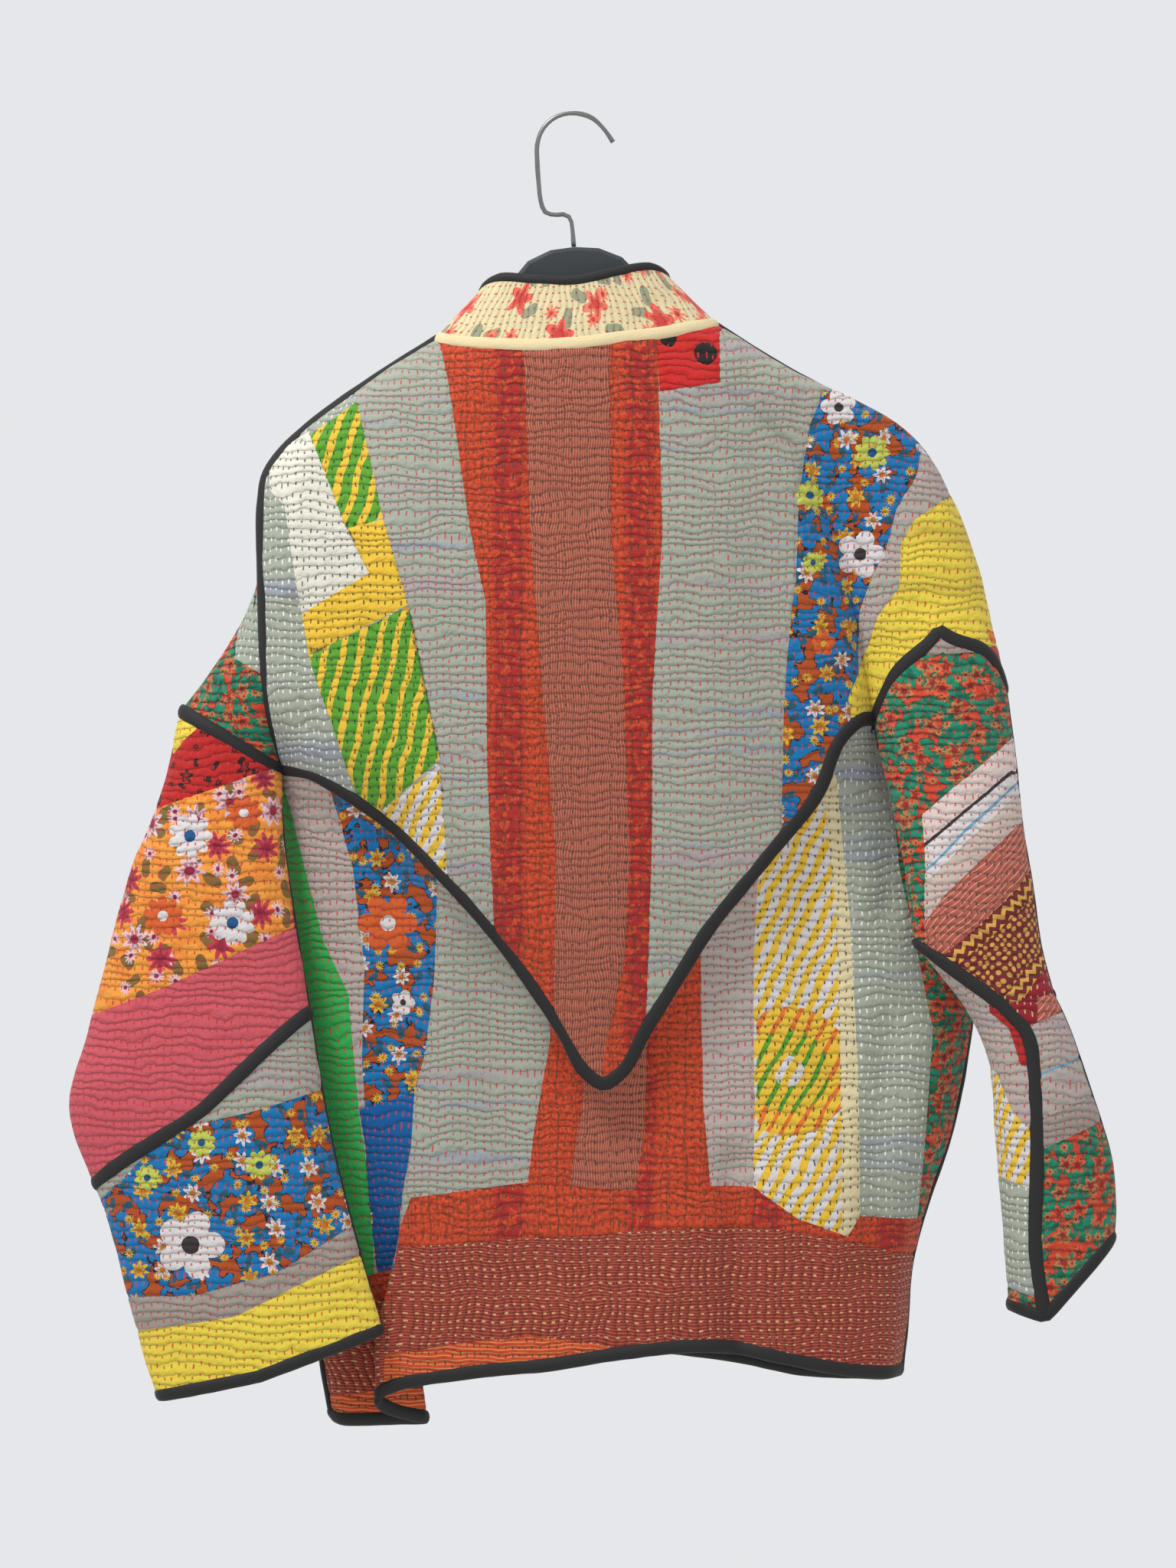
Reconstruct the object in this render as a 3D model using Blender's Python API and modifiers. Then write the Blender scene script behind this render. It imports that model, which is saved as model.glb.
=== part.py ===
"""A quilted patchwork jacket on a clothes hanger, hung up and seen from its back.

The jacket has a V shaped back yoke that runs out into dropped shoulders, a lower back, two fronts that
hang open, a stand collar, and two wide sleeves, each of an upper and a lower part. Black piping lies in
every seam and black binding closes every edge.

X runs to the viewer's right, +Z up, and the back faces -Y. The origin is the underside of the hook's
crown, where a peg or a rail carries the hanger. Tables are in millimetres.
"""

import math

import bpy
import numpy as np

MM = 0.001

# Driving sizes of the cloth and its trimmings, in millimetres
CLOTH = 2.4
# Gaps between a panel and the piping beside it, beside thin piping and where the cloth turns sharply
SEAM_GAP = 0.7
FINE_GAP = 1.2
TURNED_GAP = 1.75
PIPING_HALF = 4.6
PIPING_THICK = 4.4
BAND_HALF = 4.0
BINDING_HALF = 4.0
CUFF_HALF = 3.8
COLLAR_BINDING_HALF = 3.2
FINE_HALF = 2.4
FINE_THICK = 2.6
PIPING_PITCH = 16.0
# A bend of this many radians takes one more step of a piping, and the same bend counts in a panel's
# steps as this many millimetres for each radian
TURN_STEP = 0.6
TURN_LENGTH = 14.0
# Share by which a panel's columns and rows crowd towards its edges
EDGE_CROWD = 0.3
# Where a piping ends: tucked under another one, butted square against it, or butted at a slant
TUCK = 7.4
BUTT = 6.4
SLANT_BUTT = 9.4
# Shares of a piping's width at a tucked end, and of its thickness at its rims
TUCK_WIDTH = 0.55
RIM_SHARE = 0.35
# How far a seam's corner on the right sleeve is rounded, and the gap of a seam with no piping
BEND_RADIUS = 13.0
PLAIN_SEAM = 0.25

# Driving sizes of the hanger, in millimetres
WIRE = 3.0
HANGER_HALF_DEPTH = 6.0
HANGER_NECK = (-1.0, -87.0)
HANGER_TILT = math.radians(2.5)

# Colour, roughness and metallic of each material
LOOKS = {
    "quilted_cloth": ((0.52, 0.42, 0.36), 0.85, 0.0),
    "yoke_cloth": ((0.45, 0.30, 0.24), 0.85, 0.0),
    "sleeve_cloth": ((0.60, 0.38, 0.24), 0.85, 0.0),
    "collar_cloth": ((0.76, 0.66, 0.42), 0.85, 0.0),
    "black_binding": ((0.012, 0.010, 0.010), 0.80, 0.0),
    "hanger_plastic": ((0.026, 0.032, 0.035), 0.45, 0.0),
    "hook_steel": ((0.42, 0.42, 0.41), 0.30, 1.0),
}

# Collar seam, from the left centre front round the back to the right centre front: x, y, z
NECK = (
    (-10, 28, -214),
    (-35, 28, -199),
    (-62, 26, -176),
    (-81, 19, -158),
    (-89, 9, -150),
    (-91, -1, -147),
    (-87, -13, -148.5),
    (-73, -21, -151),
    (-44, -29, -153.5),
    (0, -33, -153),
    (30, -31, -149),
    (55, -27, -146),
    (76, -20, -141.5),
    (87, -12, -139),
    (91, 0, -137.5),
    (89, 9, -140),
    (82, 19, -149),
    (62, 26, -168),
    (35, 28, -191),
    (10, 28, -208),
)

# Top edge of the stand collar, the same way round: x, y, z
COLLAR_TOP = (
    (-11, 24, -176),
    (-32, 21, -156),
    (-52, 13, -131),
    (-61, 0, -115),
    (-52, -13, -109),
    (-28, -21, -110),
    (0, -24, -111),
    (28, -21, -105),
    (50, -13, -101.5),
    (59.5, 0, -107),
    (50, 13, -124),
    (31, 21, -150),
    (11, 24, -171),
)

# Left shoulder seam from the collar to the sleeve cap, which turns towards the viewer: x, y, z
SHOULDER_LEFT = (
    (-130, -5, -172),
    (-156, -6, -190),
    (-179, -8, -208),
    (-194, -11, -223),
    (-203, -15, -237),
    (-206, -19, -256),
    (-206, -22, -297),
    (-205, -22, -338),
    (-203, -18, -390),
)

# Right shoulder seam, which lies on the front side of the silhouette: x, y, z
SHOULDER_RIGHT = (
    (136, 3, -166),
    (166, 6, -182),
    (196, 10, -197),
    (222, 14, -214),
    (238, 18, -236),
    (250, 20, -264),
    (259, 21, -292),
    (266, 21, -322),
    (270, 20, -350),
)

# Point of the back yoke, from the left armhole to the right one: x, y, z
YOKE_POINT = (
    (-171, -24, -436),
    (-145, -31, -451),
    (-120, -36, -469),
    (-90, -40, -498),
    (-58, -42, -533),
    (-38, -43, -559),
    (-10, -44, -600),
    (8, -45, -630),
    (18, -45, -636.5),
    (27, -45, -631),
    (46, -44, -600),
    (69, -43, -563),
    (85, -42, -538),
    (126, -38, -487),
    (159, -32, -446),
    (174, -25, -411),
    (187, -15, -399),
)

# Front yoke seams, from the armhole to the centre front: x, y, z
FRONT_YOKE = (
    (176, 22, -440),
    (140, 28, -462),
    (90, 32, -500),
    (45, 34, -535),
    (10, 34, -560),
)

# Side seams, from the armhole to the hem: x, y, z
SIDE_LEFT = (
    (-195, 14, -452),
    (-197, 18, -486),
    (-197, 18, -535),
    (-190, 14, -600),
    (-181, 12, -680),
    (-172, 9, -760),
    (-169, 6, -815),
    (-162, 4, -857),
)
SIDE_RIGHT = (
    (200, 12, -413),
    (210, 17, -438),
    (233, 18, -490),
    (253, 16, -540),
    (262, 15, -580),
    (258, 12, -623),
    (247, 9, -674),
    (229, 8, -728),
    (221, 6, -760),
    (218, 5, -800),
    (215, 4, -827),
)

# Hem of the back and of the two fronts, as it lies before the fold: x, y, z
HEM_BACK = (
    (-162, 4, -857),
    (-157, -8, -859),
    (-145, -15, -857),
    (-130, -22, -851),
    (-110, -31, -841),
    (-88, -38, -830),
    (-69, -41, -825),
    (-17, -45, -819),
    (33, -46, -811),
    (85, -45, -807),
    (112, -43, -810),
    (136, -41, -815),
    (180, -33, -824),
    (205, -17, -827),
    (215, 4, -827),
)
HEM_SIDE_RIGHT = (
    (205, 15, -831),
    (185, 20, -831),
)
HEM_FRONT_RIGHT = (
    (150, 20, -829),
    (110, 29, -822),
    (60, 33, -816),
    (9, 34, -812),
)
HEM_FRONT_LEFT = (
    (-150, 20, -852),
    (-110, 29, -836),
    (-60, 33, -820),
    (-9, 34, -812),
)

# Centre front edge at the chest and at the waist: x, y, z
CHEST = (9, 31, -380)
WAIST = (9, 35, -700)

# The deep fold at the left of the back's hem: its middle and half width on the cloth, how far its layers
# pass each other sideways and in depth, how far it hangs down, and where it starts between the yoke and
# the hem
FOLD = {"at": -114.0, "half": 40.0, "over": 30.0, "deep": 8.0, "drop": 9.0, "from": 0.42}

# Soft troughs and ridges pressed into the back: x0, z0, x1, z1, width, depth
BACK_CREASES = (
    (-182, -325, -176, -402, 9, 6),
    (208, -434, 206, -520, 11, 6),
    (103, -690, 105, -812, 12, 8),
    (-122, -470, -112, -640, 17, 7),
    (150, -468, 168, -640, 20, 5),
    (-60, -560, -30, -760, 22, 4),
    (-150, -245, -98, -470, 24, 4),
    (120, -230, 140, -440, 26, 4),
    (66, -600, 62, -770, 18, -3),
    (206, -600, 190, -760, 14, 5),
)

# Rings of the left sleeve. The inner and outer ends and the back's middle are x, z; then the depths of
# the sides, the back and the front, and how far the back's half of the ring is lifted between them
RING_COLUMNS = ("xi", "zi", "xb", "zb", "xo", "zo", "side", "back", "front", "lift")
LEFT_UPPER = (
    (-195, -431, -230, -410, -260, -393, 2, -20, 24, 0),
    (-194, -458, -234, -458, -274, -455, -13, -32, 10, 0),
    (-191, -488, -241, -494, -290, -496, -20, -40, 4, 0),
    (-186, -521, -246, -538, -305, -550, -25, -47, 0, 0),
    (-181, -552, -249, -580, -318, -603, -29, -52, -2, 0),
    (-177, -575, -251, -618, -330, -652, -32, -56, -4, 0),
    (-174, -590, -243, -653, -314, -702, -34, -59, -6, 2),
)
LEFT_LOWER = (
    (-174, -590, -243, -653, -314, -702, -34, -59, -6, 2),
    (-167, -636, -236, -690, -306, -720, -37, -61, -11, 0),
    (-157, -686, -228, -728, -298, -748, -40, -63, -16, 0),
    (-144, -736, -217, -768, -289, -781, -44, -65, -21, 0),
    (-132, -778, -207, -806, -279, -816, -48, -67, -27, 0),
    (-127, -795, -205, -824, -271, -838, -50, -68, -30, 0),
)
RIGHT_UPPER = (
    (197, -398, 238, -340, 283, -378, 0, -24, 24, 12),
    (201, -420, 244, -392, 288, -422, -10, -34, 12, 6),
    (208, -452, 250, -446, 292, -468, -20, -43, 2, 0),
    (214, -488, 256, -495, 298, -508, -28, -49, -6, 0),
    (219, -520, 263, -542, 303, -546, -32, -52, -10, 0),
    (223, -546, 277, -584, 311, -578, -34, -55, -12, 0),
)
RIGHT_LOWER = (
    (223, -546, 277, -584, 311, -578, -34, -55, -12, 0),
    (256, -588, 294, -606, 322, -602, -34, -57, -13, 0),
    (271, -626, 298, -644, 335, -640, -35, -59, -14, 0),
    (276, -684, 299, -692, 348, -682, -36, -60, -16, 0),
    (280, -738, 298, -742, 351, -714, -38, -61, -19, 0),
    (283, -780, 304, -786, 350, -736, -40, -62, -22, 0),
)

# Where the right shoulder seam ends on the front side of the right armhole, in turns of its ring from
# the underarm
RIGHT_SHOULDER_TURN = 0.60
# How far the yokes swell out over the hanger's arms, in millimetres of depth
SWELL = {"back": -4.0, "front_left": 15.5, "front_right": 9.0}
# Shoulder seams start on the collar seam near these x, y
NECK_LEFT = (-90.6, -4.0)
NECK_RIGHT = (90.8, 2.5)


# Curves and surfaces

def dense(rows, count=240):
    """A smooth curve through the rows, as evenly spaced points."""
    p = np.array(rows, float)
    gaps = np.linalg.norm(np.diff(p, axis=0), axis=1)
    slopes = np.diff(p, axis=0) / gaps[:, None]
    tangents = np.empty_like(p)
    tangents[0], tangents[-1] = slopes[0], slopes[-1]
    before, after = gaps[:-1, None], gaps[1:, None]
    tangents[1:-1] = (slopes[:-1] * after + slopes[1:] * before) / (before + after)
    t = np.linspace(0, 1, 24, endpoint=False)[:, None]
    pieces = []
    for i, gap in enumerate(gaps):
        rise = (2 * t**3 - 3 * t**2 + 1) * p[i] + (3 * t**2 - 2 * t**3) * p[i + 1]
        bend = (t**3 - 2 * t**2 + t) * tangents[i] + (t**3 - t**2) * tangents[i + 1]
        pieces.append(rise + bend * gap)
    return evenly(np.vstack([*pieces, p[-1:]]), count)


def lengths(points):
    """Distance along the points from the first one."""
    steps = np.linalg.norm(np.diff(points, axis=0), axis=1)
    return np.concatenate([[0.0], np.cumsum(steps)])


def evenly(points, count):
    """The same line with evenly spaced points."""
    along = lengths(points)
    wanted = np.linspace(0, along[-1], count)
    return np.stack([np.interp(wanted, along, points[:, k]) for k in range(3)], axis=1)


def join(*curves):
    """Curves end to end, as evenly spaced points."""
    return evenly(np.vstack([curves[0], *(c[1:] for c in curves[1:])]), 400)


def nearest(curve, place):
    """Index of the curve's point that is nearest to a place, given by its first coordinates."""
    return int(np.linalg.norm(curve[:, : len(place)] - place, axis=1).argmin())


def along(curve, share):
    """Points at shares of the length of an evenly spaced curve."""
    at = np.linspace(0, 1, len(curve))
    return np.stack([np.interp(share, at, curve[:, k]) for k in range(3)], axis=-1)


def pressed(points, creases=BACK_CREASES):
    """The back's points with its soft troughs and ridges pressed in."""
    moved = np.array(points, float)
    toward = np.clip(-moved[..., 1] / 14.0, 0, 1)
    for x0, z0, x1, z1, width, depth in creases:
        run = np.array([x1 - x0, z1 - z0], float)
        rel = np.stack([moved[..., 0] - x0, moved[..., 2] - z0], axis=-1)
        t = np.clip((rel @ run) / (run @ run), 0, 1)
        off = np.linalg.norm(rel - t[..., None] * run, axis=-1)
        moved[..., 1] = moved[..., 1] + depth * toward * np.exp(-((off / width) ** 2))
    return moved


def coons(top, bottom, left, right, fade=1.0):
    """A surface between four curves. fade over 1 keeps the bottom's shape low down."""
    def surface(u, v):
        f, g = (v**fade)[..., None], u[..., None]
        across = (1 - f) * along(top, u) + f * along(bottom, u)
        down = (1 - g) * along(left, v) + g * along(right, v)
        high = (1 - g) * top[0] + g * top[-1]
        low = (1 - g) * bottom[0] + g * bottom[-1]
        return across + down - (1 - f) * high - f * low
    return surface


def oval(row, turn):
    """Points of one sleeve ring. It turns from the inner end over the back to the outer end."""
    r = dict(zip(RING_COLUMNS, row))
    inner = np.array([r["xi"], r["side"], r["zi"]], float)
    outer = np.array([r["xo"], r["side"], r["zo"]], float)
    back = np.array([r["xb"], r["back"], r["zb"]], float)
    front = (inner + outer) / 2
    front[1] = r["front"]
    turn = np.asarray(turn, float) % 1.0
    angle = turn * 2 * math.pi
    side = np.where((np.cos(angle) > 0)[..., None], inner, outer)
    middle = np.where((np.sin(angle) > 0)[..., None], back, front)
    share = (1 - np.abs(np.cos(angle)))[..., None]
    point = side + (middle - side) * share
    point[..., 1] = side[..., 1] + (middle[..., 1] - side[..., 1]) * np.abs(np.sin(angle))
    point[..., 2] += np.where(np.sin(angle) > 0, r["lift"] * np.sin(2 * angle) ** 2, 0)
    return point


def tube(rows, start=0.0, end=1.0):
    """A surface round a sleeve's rings. u goes from the start turn to the end turn, v from ring to ring."""
    last = len(rows) - 1

    def surface(u, v):
        turn = start + (end - start) * u
        rings = [oval(row, turn) for row in rows]
        place = np.clip(v * last, 0, last - 1e-9)
        k = place.astype(int)
        t = (place - k)[..., None]
        pick = lambda i: np.choose(np.clip(i, 0, last)[..., None], rings)
        a, b, c, d = pick(k - 1), pick(k), pick(k + 1), pick(k + 2)
        a = np.where((k == 0)[..., None], 2 * b - c, a)
        d = np.where((k == last - 1)[..., None], 2 * c - b, d)
        bend = (2 * a - 5 * b + 4 * c - d) * t**2 + (3 * b - a - 3 * c + d) * t**3
        return b + 0.5 * ((c - a) * t + bend)
    return surface


def reach(points, line):
    """Distance from each point to the nearest point of a line."""
    flat = points.reshape(-1, 3)
    best = np.full(len(flat), np.inf)
    for k in range(0, len(line), 40):
        part = np.linalg.norm(flat[:, None] - line[None, k : k + 40], axis=2)
        best = np.minimum(best, part.min(axis=1))
    return best.reshape(points.shape[:-1])


def clear_of(points, own, margin):
    """How far points lie beyond the margin of an edge, or of each line of a list with its own margin."""
    lines = margin if isinstance(margin, list) else [(own, margin)]
    return np.min([reach(points, line) - least for line, least in lines], axis=0)


def inset_grid(surface, columns, rows, margins):
    """Shares u and v of a panel's grid, drawn back from its top, bottom, left and right edges."""
    n = 121
    s = np.linspace(0, 1, n)
    u, v = np.meshgrid(s, s, indexing="ij")
    points = surface(u, v)
    t = np.linspace(0, 1, 500)
    top, bottom, left, right = margins
    over_top = clear_of(points, surface(t, 0 * t), top)
    over_bottom = clear_of(points, surface(t, 0 * t + 1), bottom)
    over_left = clear_of(points, surface(0 * t, t), left)
    over_right = clear_of(points, surface(0 * t + 1, t), right)

    def first(over):
        """Share along each line of the lattice from which it is clear of the edge."""
        half = n // 2
        shares = []
        for line in over:
            near = np.flatnonzero(line[:half] < 0)
            k = int(near[-1]) if len(near) else 0
            part = -line[k] / max(line[k + 1] - line[k], 1e-9) if len(near) else 0.0
            shares.append((k + part) / (n - 1))
        return np.array(shares)

    from_left = first(over_left.T)
    from_right = 1 - first(over_right.T[:, ::-1])
    from_top = first(over_top)
    from_bottom = 1 - first(over_bottom[:, ::-1])
    a, b = np.meshgrid(stations(points, columns, 0), stations(points, rows, 1), indexing="ij")
    u, v = a.copy(), b.copy()
    for _ in range(30):
        low, high = np.interp(v, s, from_left), np.interp(v, s, from_right)
        u = low + a * (high - low)
        low, high = np.interp(u, s, from_top), np.interp(u, s, from_bottom)
        v = low + b * (high - low)
    return u, v


def stations(points, count, axis):
    """Shares across the panel that leave even steps over its widest parts."""
    ahead = np.diff(points, axis=axis)
    steps = np.linalg.norm(ahead, axis=2)
    ahead = np.moveaxis(ahead / (steps[..., None] + 1e-9), axis, 0)
    bends = np.linalg.norm(np.diff(ahead, axis=0), axis=2).mean(axis=1)
    steps = np.sqrt((steps**2).mean(axis=1 - axis)) + 0.15 * steps.max(axis=1 - axis)
    steps[1:] += TURN_LENGTH * bends
    run = np.concatenate([[0.0], np.cumsum(steps)])
    t = np.linspace(0, 1, count + 1)
    t = t - EDGE_CROWD * np.sin(2 * math.pi * t) / (2 * math.pi)
    return np.interp(t * run[-1], run, np.linspace(0, 1, len(run)))


# Blender objects

def make_material(name):
    """The named material."""
    colour, roughness, metallic = LOOKS[name]
    material = bpy.data.materials.new(name)
    material.use_nodes = True
    shader = material.node_tree.nodes["Principled BSDF"]
    shader.inputs["Base Color"].default_value = (*colour, 1)
    shader.inputs["Roughness"].default_value = roughness
    shader.inputs["Metallic"].default_value = metallic
    material.diffuse_color = (*colour, 1)
    return material


def shell(name, grid, thick, material, ring=False, crown=None):
    """An open grid of points with a wall on both sides of it. ring joins its ends."""
    m, n = grid.shape[:2]
    faces = []
    for i in range(m if ring else m - 1):
        j = (i + 1) % m
        for k in range(n - 1):
            faces.append((i * n + k, j * n + k, j * n + k + 1, i * n + k + 1))
    mesh = bpy.data.meshes.new(name)
    mesh.from_pydata((grid.reshape(-1, 3) * MM).tolist(), [], faces)
    body = bpy.data.objects.new(name, mesh)
    jacket.objects.link(body)
    wall = body.modifiers.new("wall", "SOLIDIFY")
    wall.thickness = thick * MM
    wall.offset = 0.0
    if crown is not None:
        middle = body.vertex_groups.new(name="crown")
        middle.add([i * n + 1 for i in range(m)], 1.0, "REPLACE")
        wall.vertex_group = middle.name
        wall.thickness_vertex_group = crown
    mesh.materials.append(material)
    mesh.shade_smooth()
    return body


def panel(name, surface, columns, rows, margins, material, press=False):
    """A cloth panel drawn back from its seams."""
    u, v = inset_grid(surface, columns, rows, margins)
    grid = surface(u, v)
    if press:
        grid = pressed(grid)
    return shell(name, grid, CLOTH, material)


def edge_frame(surface, u, v, press=False):
    """Points of a surface and its unit normals there."""
    step = 0.004
    here = lambda a, b: pressed(surface(a, b)) if press else surface(a, b)
    across = here(np.minimum(u + step, 1), v) - here(np.maximum(u - step, 0), v)
    down = here(u, np.minimum(v + step, 1)) - here(u, np.maximum(v - step, 0))
    normal = np.cross(across, down)
    normal /= np.linalg.norm(normal, axis=1)[:, None]
    return here(u, v), normal


def piping(name, points, normals, half, thick, ends=(0, 0), ring=False, crown=True, pitch=PIPING_PITCH):
    """A flat oval band that lies in a seam. ends says how far it stops short, and it narrows there."""
    run = lengths(points)
    heading = np.diff(points, axis=0)
    heading /= np.linalg.norm(heading, axis=1)[:, None] + 1e-9
    bends = np.concatenate([[0.0], np.linalg.norm(np.diff(heading, axis=0), axis=1), [0.0]])
    measure = run / pitch + np.cumsum(bends) / TURN_STEP
    low, high = np.interp([ends[0], run[-1] - ends[1]], run, measure)
    count = max(3, round(high - low))
    marks = np.linspace(low, high, count + (0 if ring else 1), endpoint=not ring)
    wanted = np.interp(marks, measure, run)
    p = np.stack([np.interp(wanted, run, points[:, k]) for k in range(3)], axis=1)
    n = np.stack([np.interp(wanted, run, normals[:, k]) for k in range(3)], axis=1)
    if ring:
        ahead = np.roll(p, -1, axis=0) - np.roll(p, 1, axis=0)
    else:
        ahead = np.gradient(p, axis=0)
    side = np.cross(ahead, n)
    side /= np.linalg.norm(side, axis=1)[:, None]
    wide = np.full(len(p), half)
    if ends[0] == TUCK:
        wide[0] *= TUCK_WIDTH
    if ends[1] == TUCK:
        wide[-1] *= TUCK_WIDTH
    shift = side * wide[:, None]
    lines = (p - shift, p, p + shift) if crown else (p - shift, p + shift)
    grid = np.stack(lines, axis=1)
    return shell(name, grid, thick, black, ring, RIM_SHARE if crown else None)


# The objects that the file opens with go first
for old in list(bpy.data.objects):
    bpy.data.objects.remove(old, do_unlink=True)
jacket = bpy.data.collections.new("jacket_on_hanger")
bpy.context.scene.collection.children.link(jacket)
cloth = make_material("quilted_cloth")
yoke_cloth = make_material("yoke_cloth")
sleeve_cloth = make_material("sleeve_cloth")
collar_cloth = make_material("collar_cloth")
black = make_material("black_binding")
plastic = make_material("hanger_plastic")
steel = make_material("hook_steel")

# Seam curves that the panels share
turns = np.linspace(0, 1, 241)
cap_left, cap_right = oval(LEFT_UPPER[0], turns), oval(RIGHT_UPPER[0], turns)


def cap_part(ring, first, last):
    """Stretch of an armhole's ring between two turns."""
    return evenly(ring[round(first * 240) : round(last * 240) + 1], 160)


def mirrored(rows):
    """The rows on the other side of the centre front."""
    return [(-x, y, z) for x, y, z in rows]


neck, collar_top = dense(NECK, 600), dense(COLLAR_TOP, 400)
half_way = len(neck) // 2
left_start = nearest(neck[:half_way], NECK_LEFT)
right_start = half_way + nearest(neck[half_way:], NECK_RIGHT)
under_left, under_right = cap_left[0], cap_right[0]
shoulder_end = oval(RIGHT_UPPER[0], RIGHT_SHOULDER_TURN)
shoulder_left = dense([neck[left_start], *SHOULDER_LEFT, under_left])
shoulder_right = dense([neck[right_start], *SHOULDER_RIGHT, shoulder_end])
yoke_point = dense([under_left, *YOKE_POINT, under_right], 400)
front_yoke_left = dense([under_left, *mirrored(FRONT_YOKE)])
front_yoke_right = dense([under_right, *FRONT_YOKE])
side_left, side_right = dense([under_left, *SIDE_LEFT]), dense([under_right, *SIDE_RIGHT])
hem_back = dense(HEM_BACK, 400)
hem_left = dense([HEM_BACK[0], *HEM_FRONT_LEFT])
hem_right = dense([HEM_BACK[-1], *HEM_SIDE_RIGHT, *HEM_FRONT_RIGHT])
front_edge_left = dense([neck[0], *mirrored([CHEST]), front_yoke_left[-1]])
front_edge_right = dense([neck[-1], CHEST, front_yoke_right[-1]])
front_low_left = dense([front_yoke_left[-1], *mirrored([WAIST]), hem_left[-1]])
front_low_right = dense([front_yoke_right[-1], WAIST, hem_right[-1]])

# Surfaces of the panels

def swollen(surface, depth):
    """The surface with its middle moved in depth, quickly near its rims."""
    def moved(u, v):
        point = surface(u, v)
        across = (1 - np.abs(2 * u - 1) ** 2.4) ** (1 / 2.4)
        point[..., 1] += depth * across * (4 * v * (1 - v)) ** 0.6
        return point
    return moved


back_yoke = swollen(coons(
    neck[left_start : right_start + 1],
    join(yoke_point, cap_part(cap_right, 0, RIGHT_SHOULDER_TURN)),
    shoulder_left,
    shoulder_right,
    1.2,
), SWELL["back"])
front_left_yoke = swollen(coons(
    neck[: left_start + 1][::-1],
    join(cap_left, front_yoke_left),
    shoulder_left,
    front_edge_left,
    2.2,
), SWELL["front_left"])
front_right_yoke = swollen(coons(
    neck[right_start:],
    join(cap_part(cap_right, RIGHT_SHOULDER_TURN, 1), front_yoke_right),
    shoulder_right,
    front_edge_right,
    1.6,
), SWELL["front_right"])
plain_back = coons(yoke_point, hem_back, side_left, side_right)
front_left_low = coons(front_yoke_left, hem_left, side_left, front_low_left)
front_right_low = coons(front_yoke_right, hem_right, side_right, front_low_right)
fold_middle = nearest(hem_back, (FOLD["at"],)) / (len(hem_back) - 1)
fold_half = FOLD["half"] / lengths(hem_back)[-1]


def lower_back(u, v):
    """The lower back with its deep fold, which opens out towards the yoke."""
    point = plain_back(u, v)
    t = (u - fold_middle) / fold_half
    grown = np.clip((v - FOLD["from"]) / (1 - FOLD["from"]), 0, 1)
    grown = grown * grown * (3 - 2 * grown)
    sway = 2 * math.exp(0.5) * t * np.exp(-2 * t**2)
    point[..., 0] -= FOLD["over"] * grown * sway
    point[..., 1] -= FOLD["deep"] * grown * np.tanh(3 * t) * np.exp(-(t**2))
    point[..., 2] -= FOLD["drop"] * grown * np.exp(-((t + 0.1) ** 2) * 3)
    return point


def matched(curve, places):
    """The curve with the points nearest to the places at even shares of its length."""
    marks = [0, *(nearest(curve, place) for place in places), len(curve) - 1]
    index = np.interp(np.linspace(0, 1, 401), np.linspace(0, 1, len(marks)), marks)
    at = np.arange(len(curve))
    return np.stack([np.interp(index, at, curve[:, k]) for k in range(3)], axis=1)


collar_low = matched(neck, ((-91, -1), (0, -33), (91, 0)))
collar_high = matched(collar_top, ((-61, 0), (0, -24), (59.5, 0)))


def collar_wall(u, v):
    """The stand collar, which leans in towards its top."""
    f = v[..., None]
    return (1 - f) * along(collar_high, u) + f * along(collar_low, u)


# Cloth panels. Margins are those of the top, the bottom, the left and the right edge
wide = PIPING_HALF + SEAM_GAP
band = BAND_HALF + SEAM_GAP
bound = BINDING_HALF + SEAM_GAP
fine = FINE_HALF + FINE_GAP
turned = PIPING_HALF + TURNED_GAP
cuff = CUFF_HALF + SEAM_GAP
rim = COLLAR_BINDING_HALF + SEAM_GAP
panel("back_yoke", back_yoke, 34, 14, (band, turned, wide, wide), yoke_cloth, True)
panel("front_yoke_left", front_left_yoke, 20, 9, (band, turned, turned, bound), yoke_cloth)
panel("front_yoke_right", front_right_yoke, 16, 9, (band, turned, wide, bound), yoke_cloth)
panel("back_lower", lower_back, 40, 8, (wide, bound, fine, fine), cloth, True)
panel("front_lower_left", front_left_low, 12, 9, (wide, bound, fine, bound), cloth)
panel("front_lower_right", front_right_low, 12, 9, (wide, bound, fine, bound), cloth)
panel("collar", collar_wall, 26, 3, (rim, band, bound, bound), collar_cloth)

# Sleeves. The left one has its long seam at the inner end. The right one has it at the outer end, and
# its lower part has a second one down the ridge at the back
LEFT_SEAM, RIGHT_SEAM, RIDGE = 0.0, 0.5, 0.25
left_upper = tube(LEFT_UPPER, LEFT_SEAM, LEFT_SEAM + 1)
left_lower = tube(LEFT_LOWER, LEFT_SEAM, LEFT_SEAM + 1)
right_upper = tube(RIGHT_UPPER, RIGHT_SEAM, RIGHT_SEAM + 1)
right_back = tube(RIGHT_LOWER, RIDGE, RIGHT_SEAM)
right_front = tube(RIGHT_LOWER, RIGHT_SEAM, RIDGE + 1)
t = np.linspace(0, 1, 400)
bend = np.vstack([right_front(t, 0 * t)[:-1], right_front(0 * t + 1, t)])
bend_way = lengths(bend)
corner = lengths(right_front(t, 0 * t))[-1]


def rounded(line, way, middle, radius):
    """The line with the corner at a distance along it rounded off."""
    spread = radius * np.exp(-(((way - middle) / (1.6 * radius)) ** 2))
    sides = [
        np.stack([np.interp(way + k * spread, way, line[:, c]) for c in range(3)], axis=1)
        for k in (-1, -0.5, 0, 0.5, 1)
    ]
    return np.mean(sides, axis=0)


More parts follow.
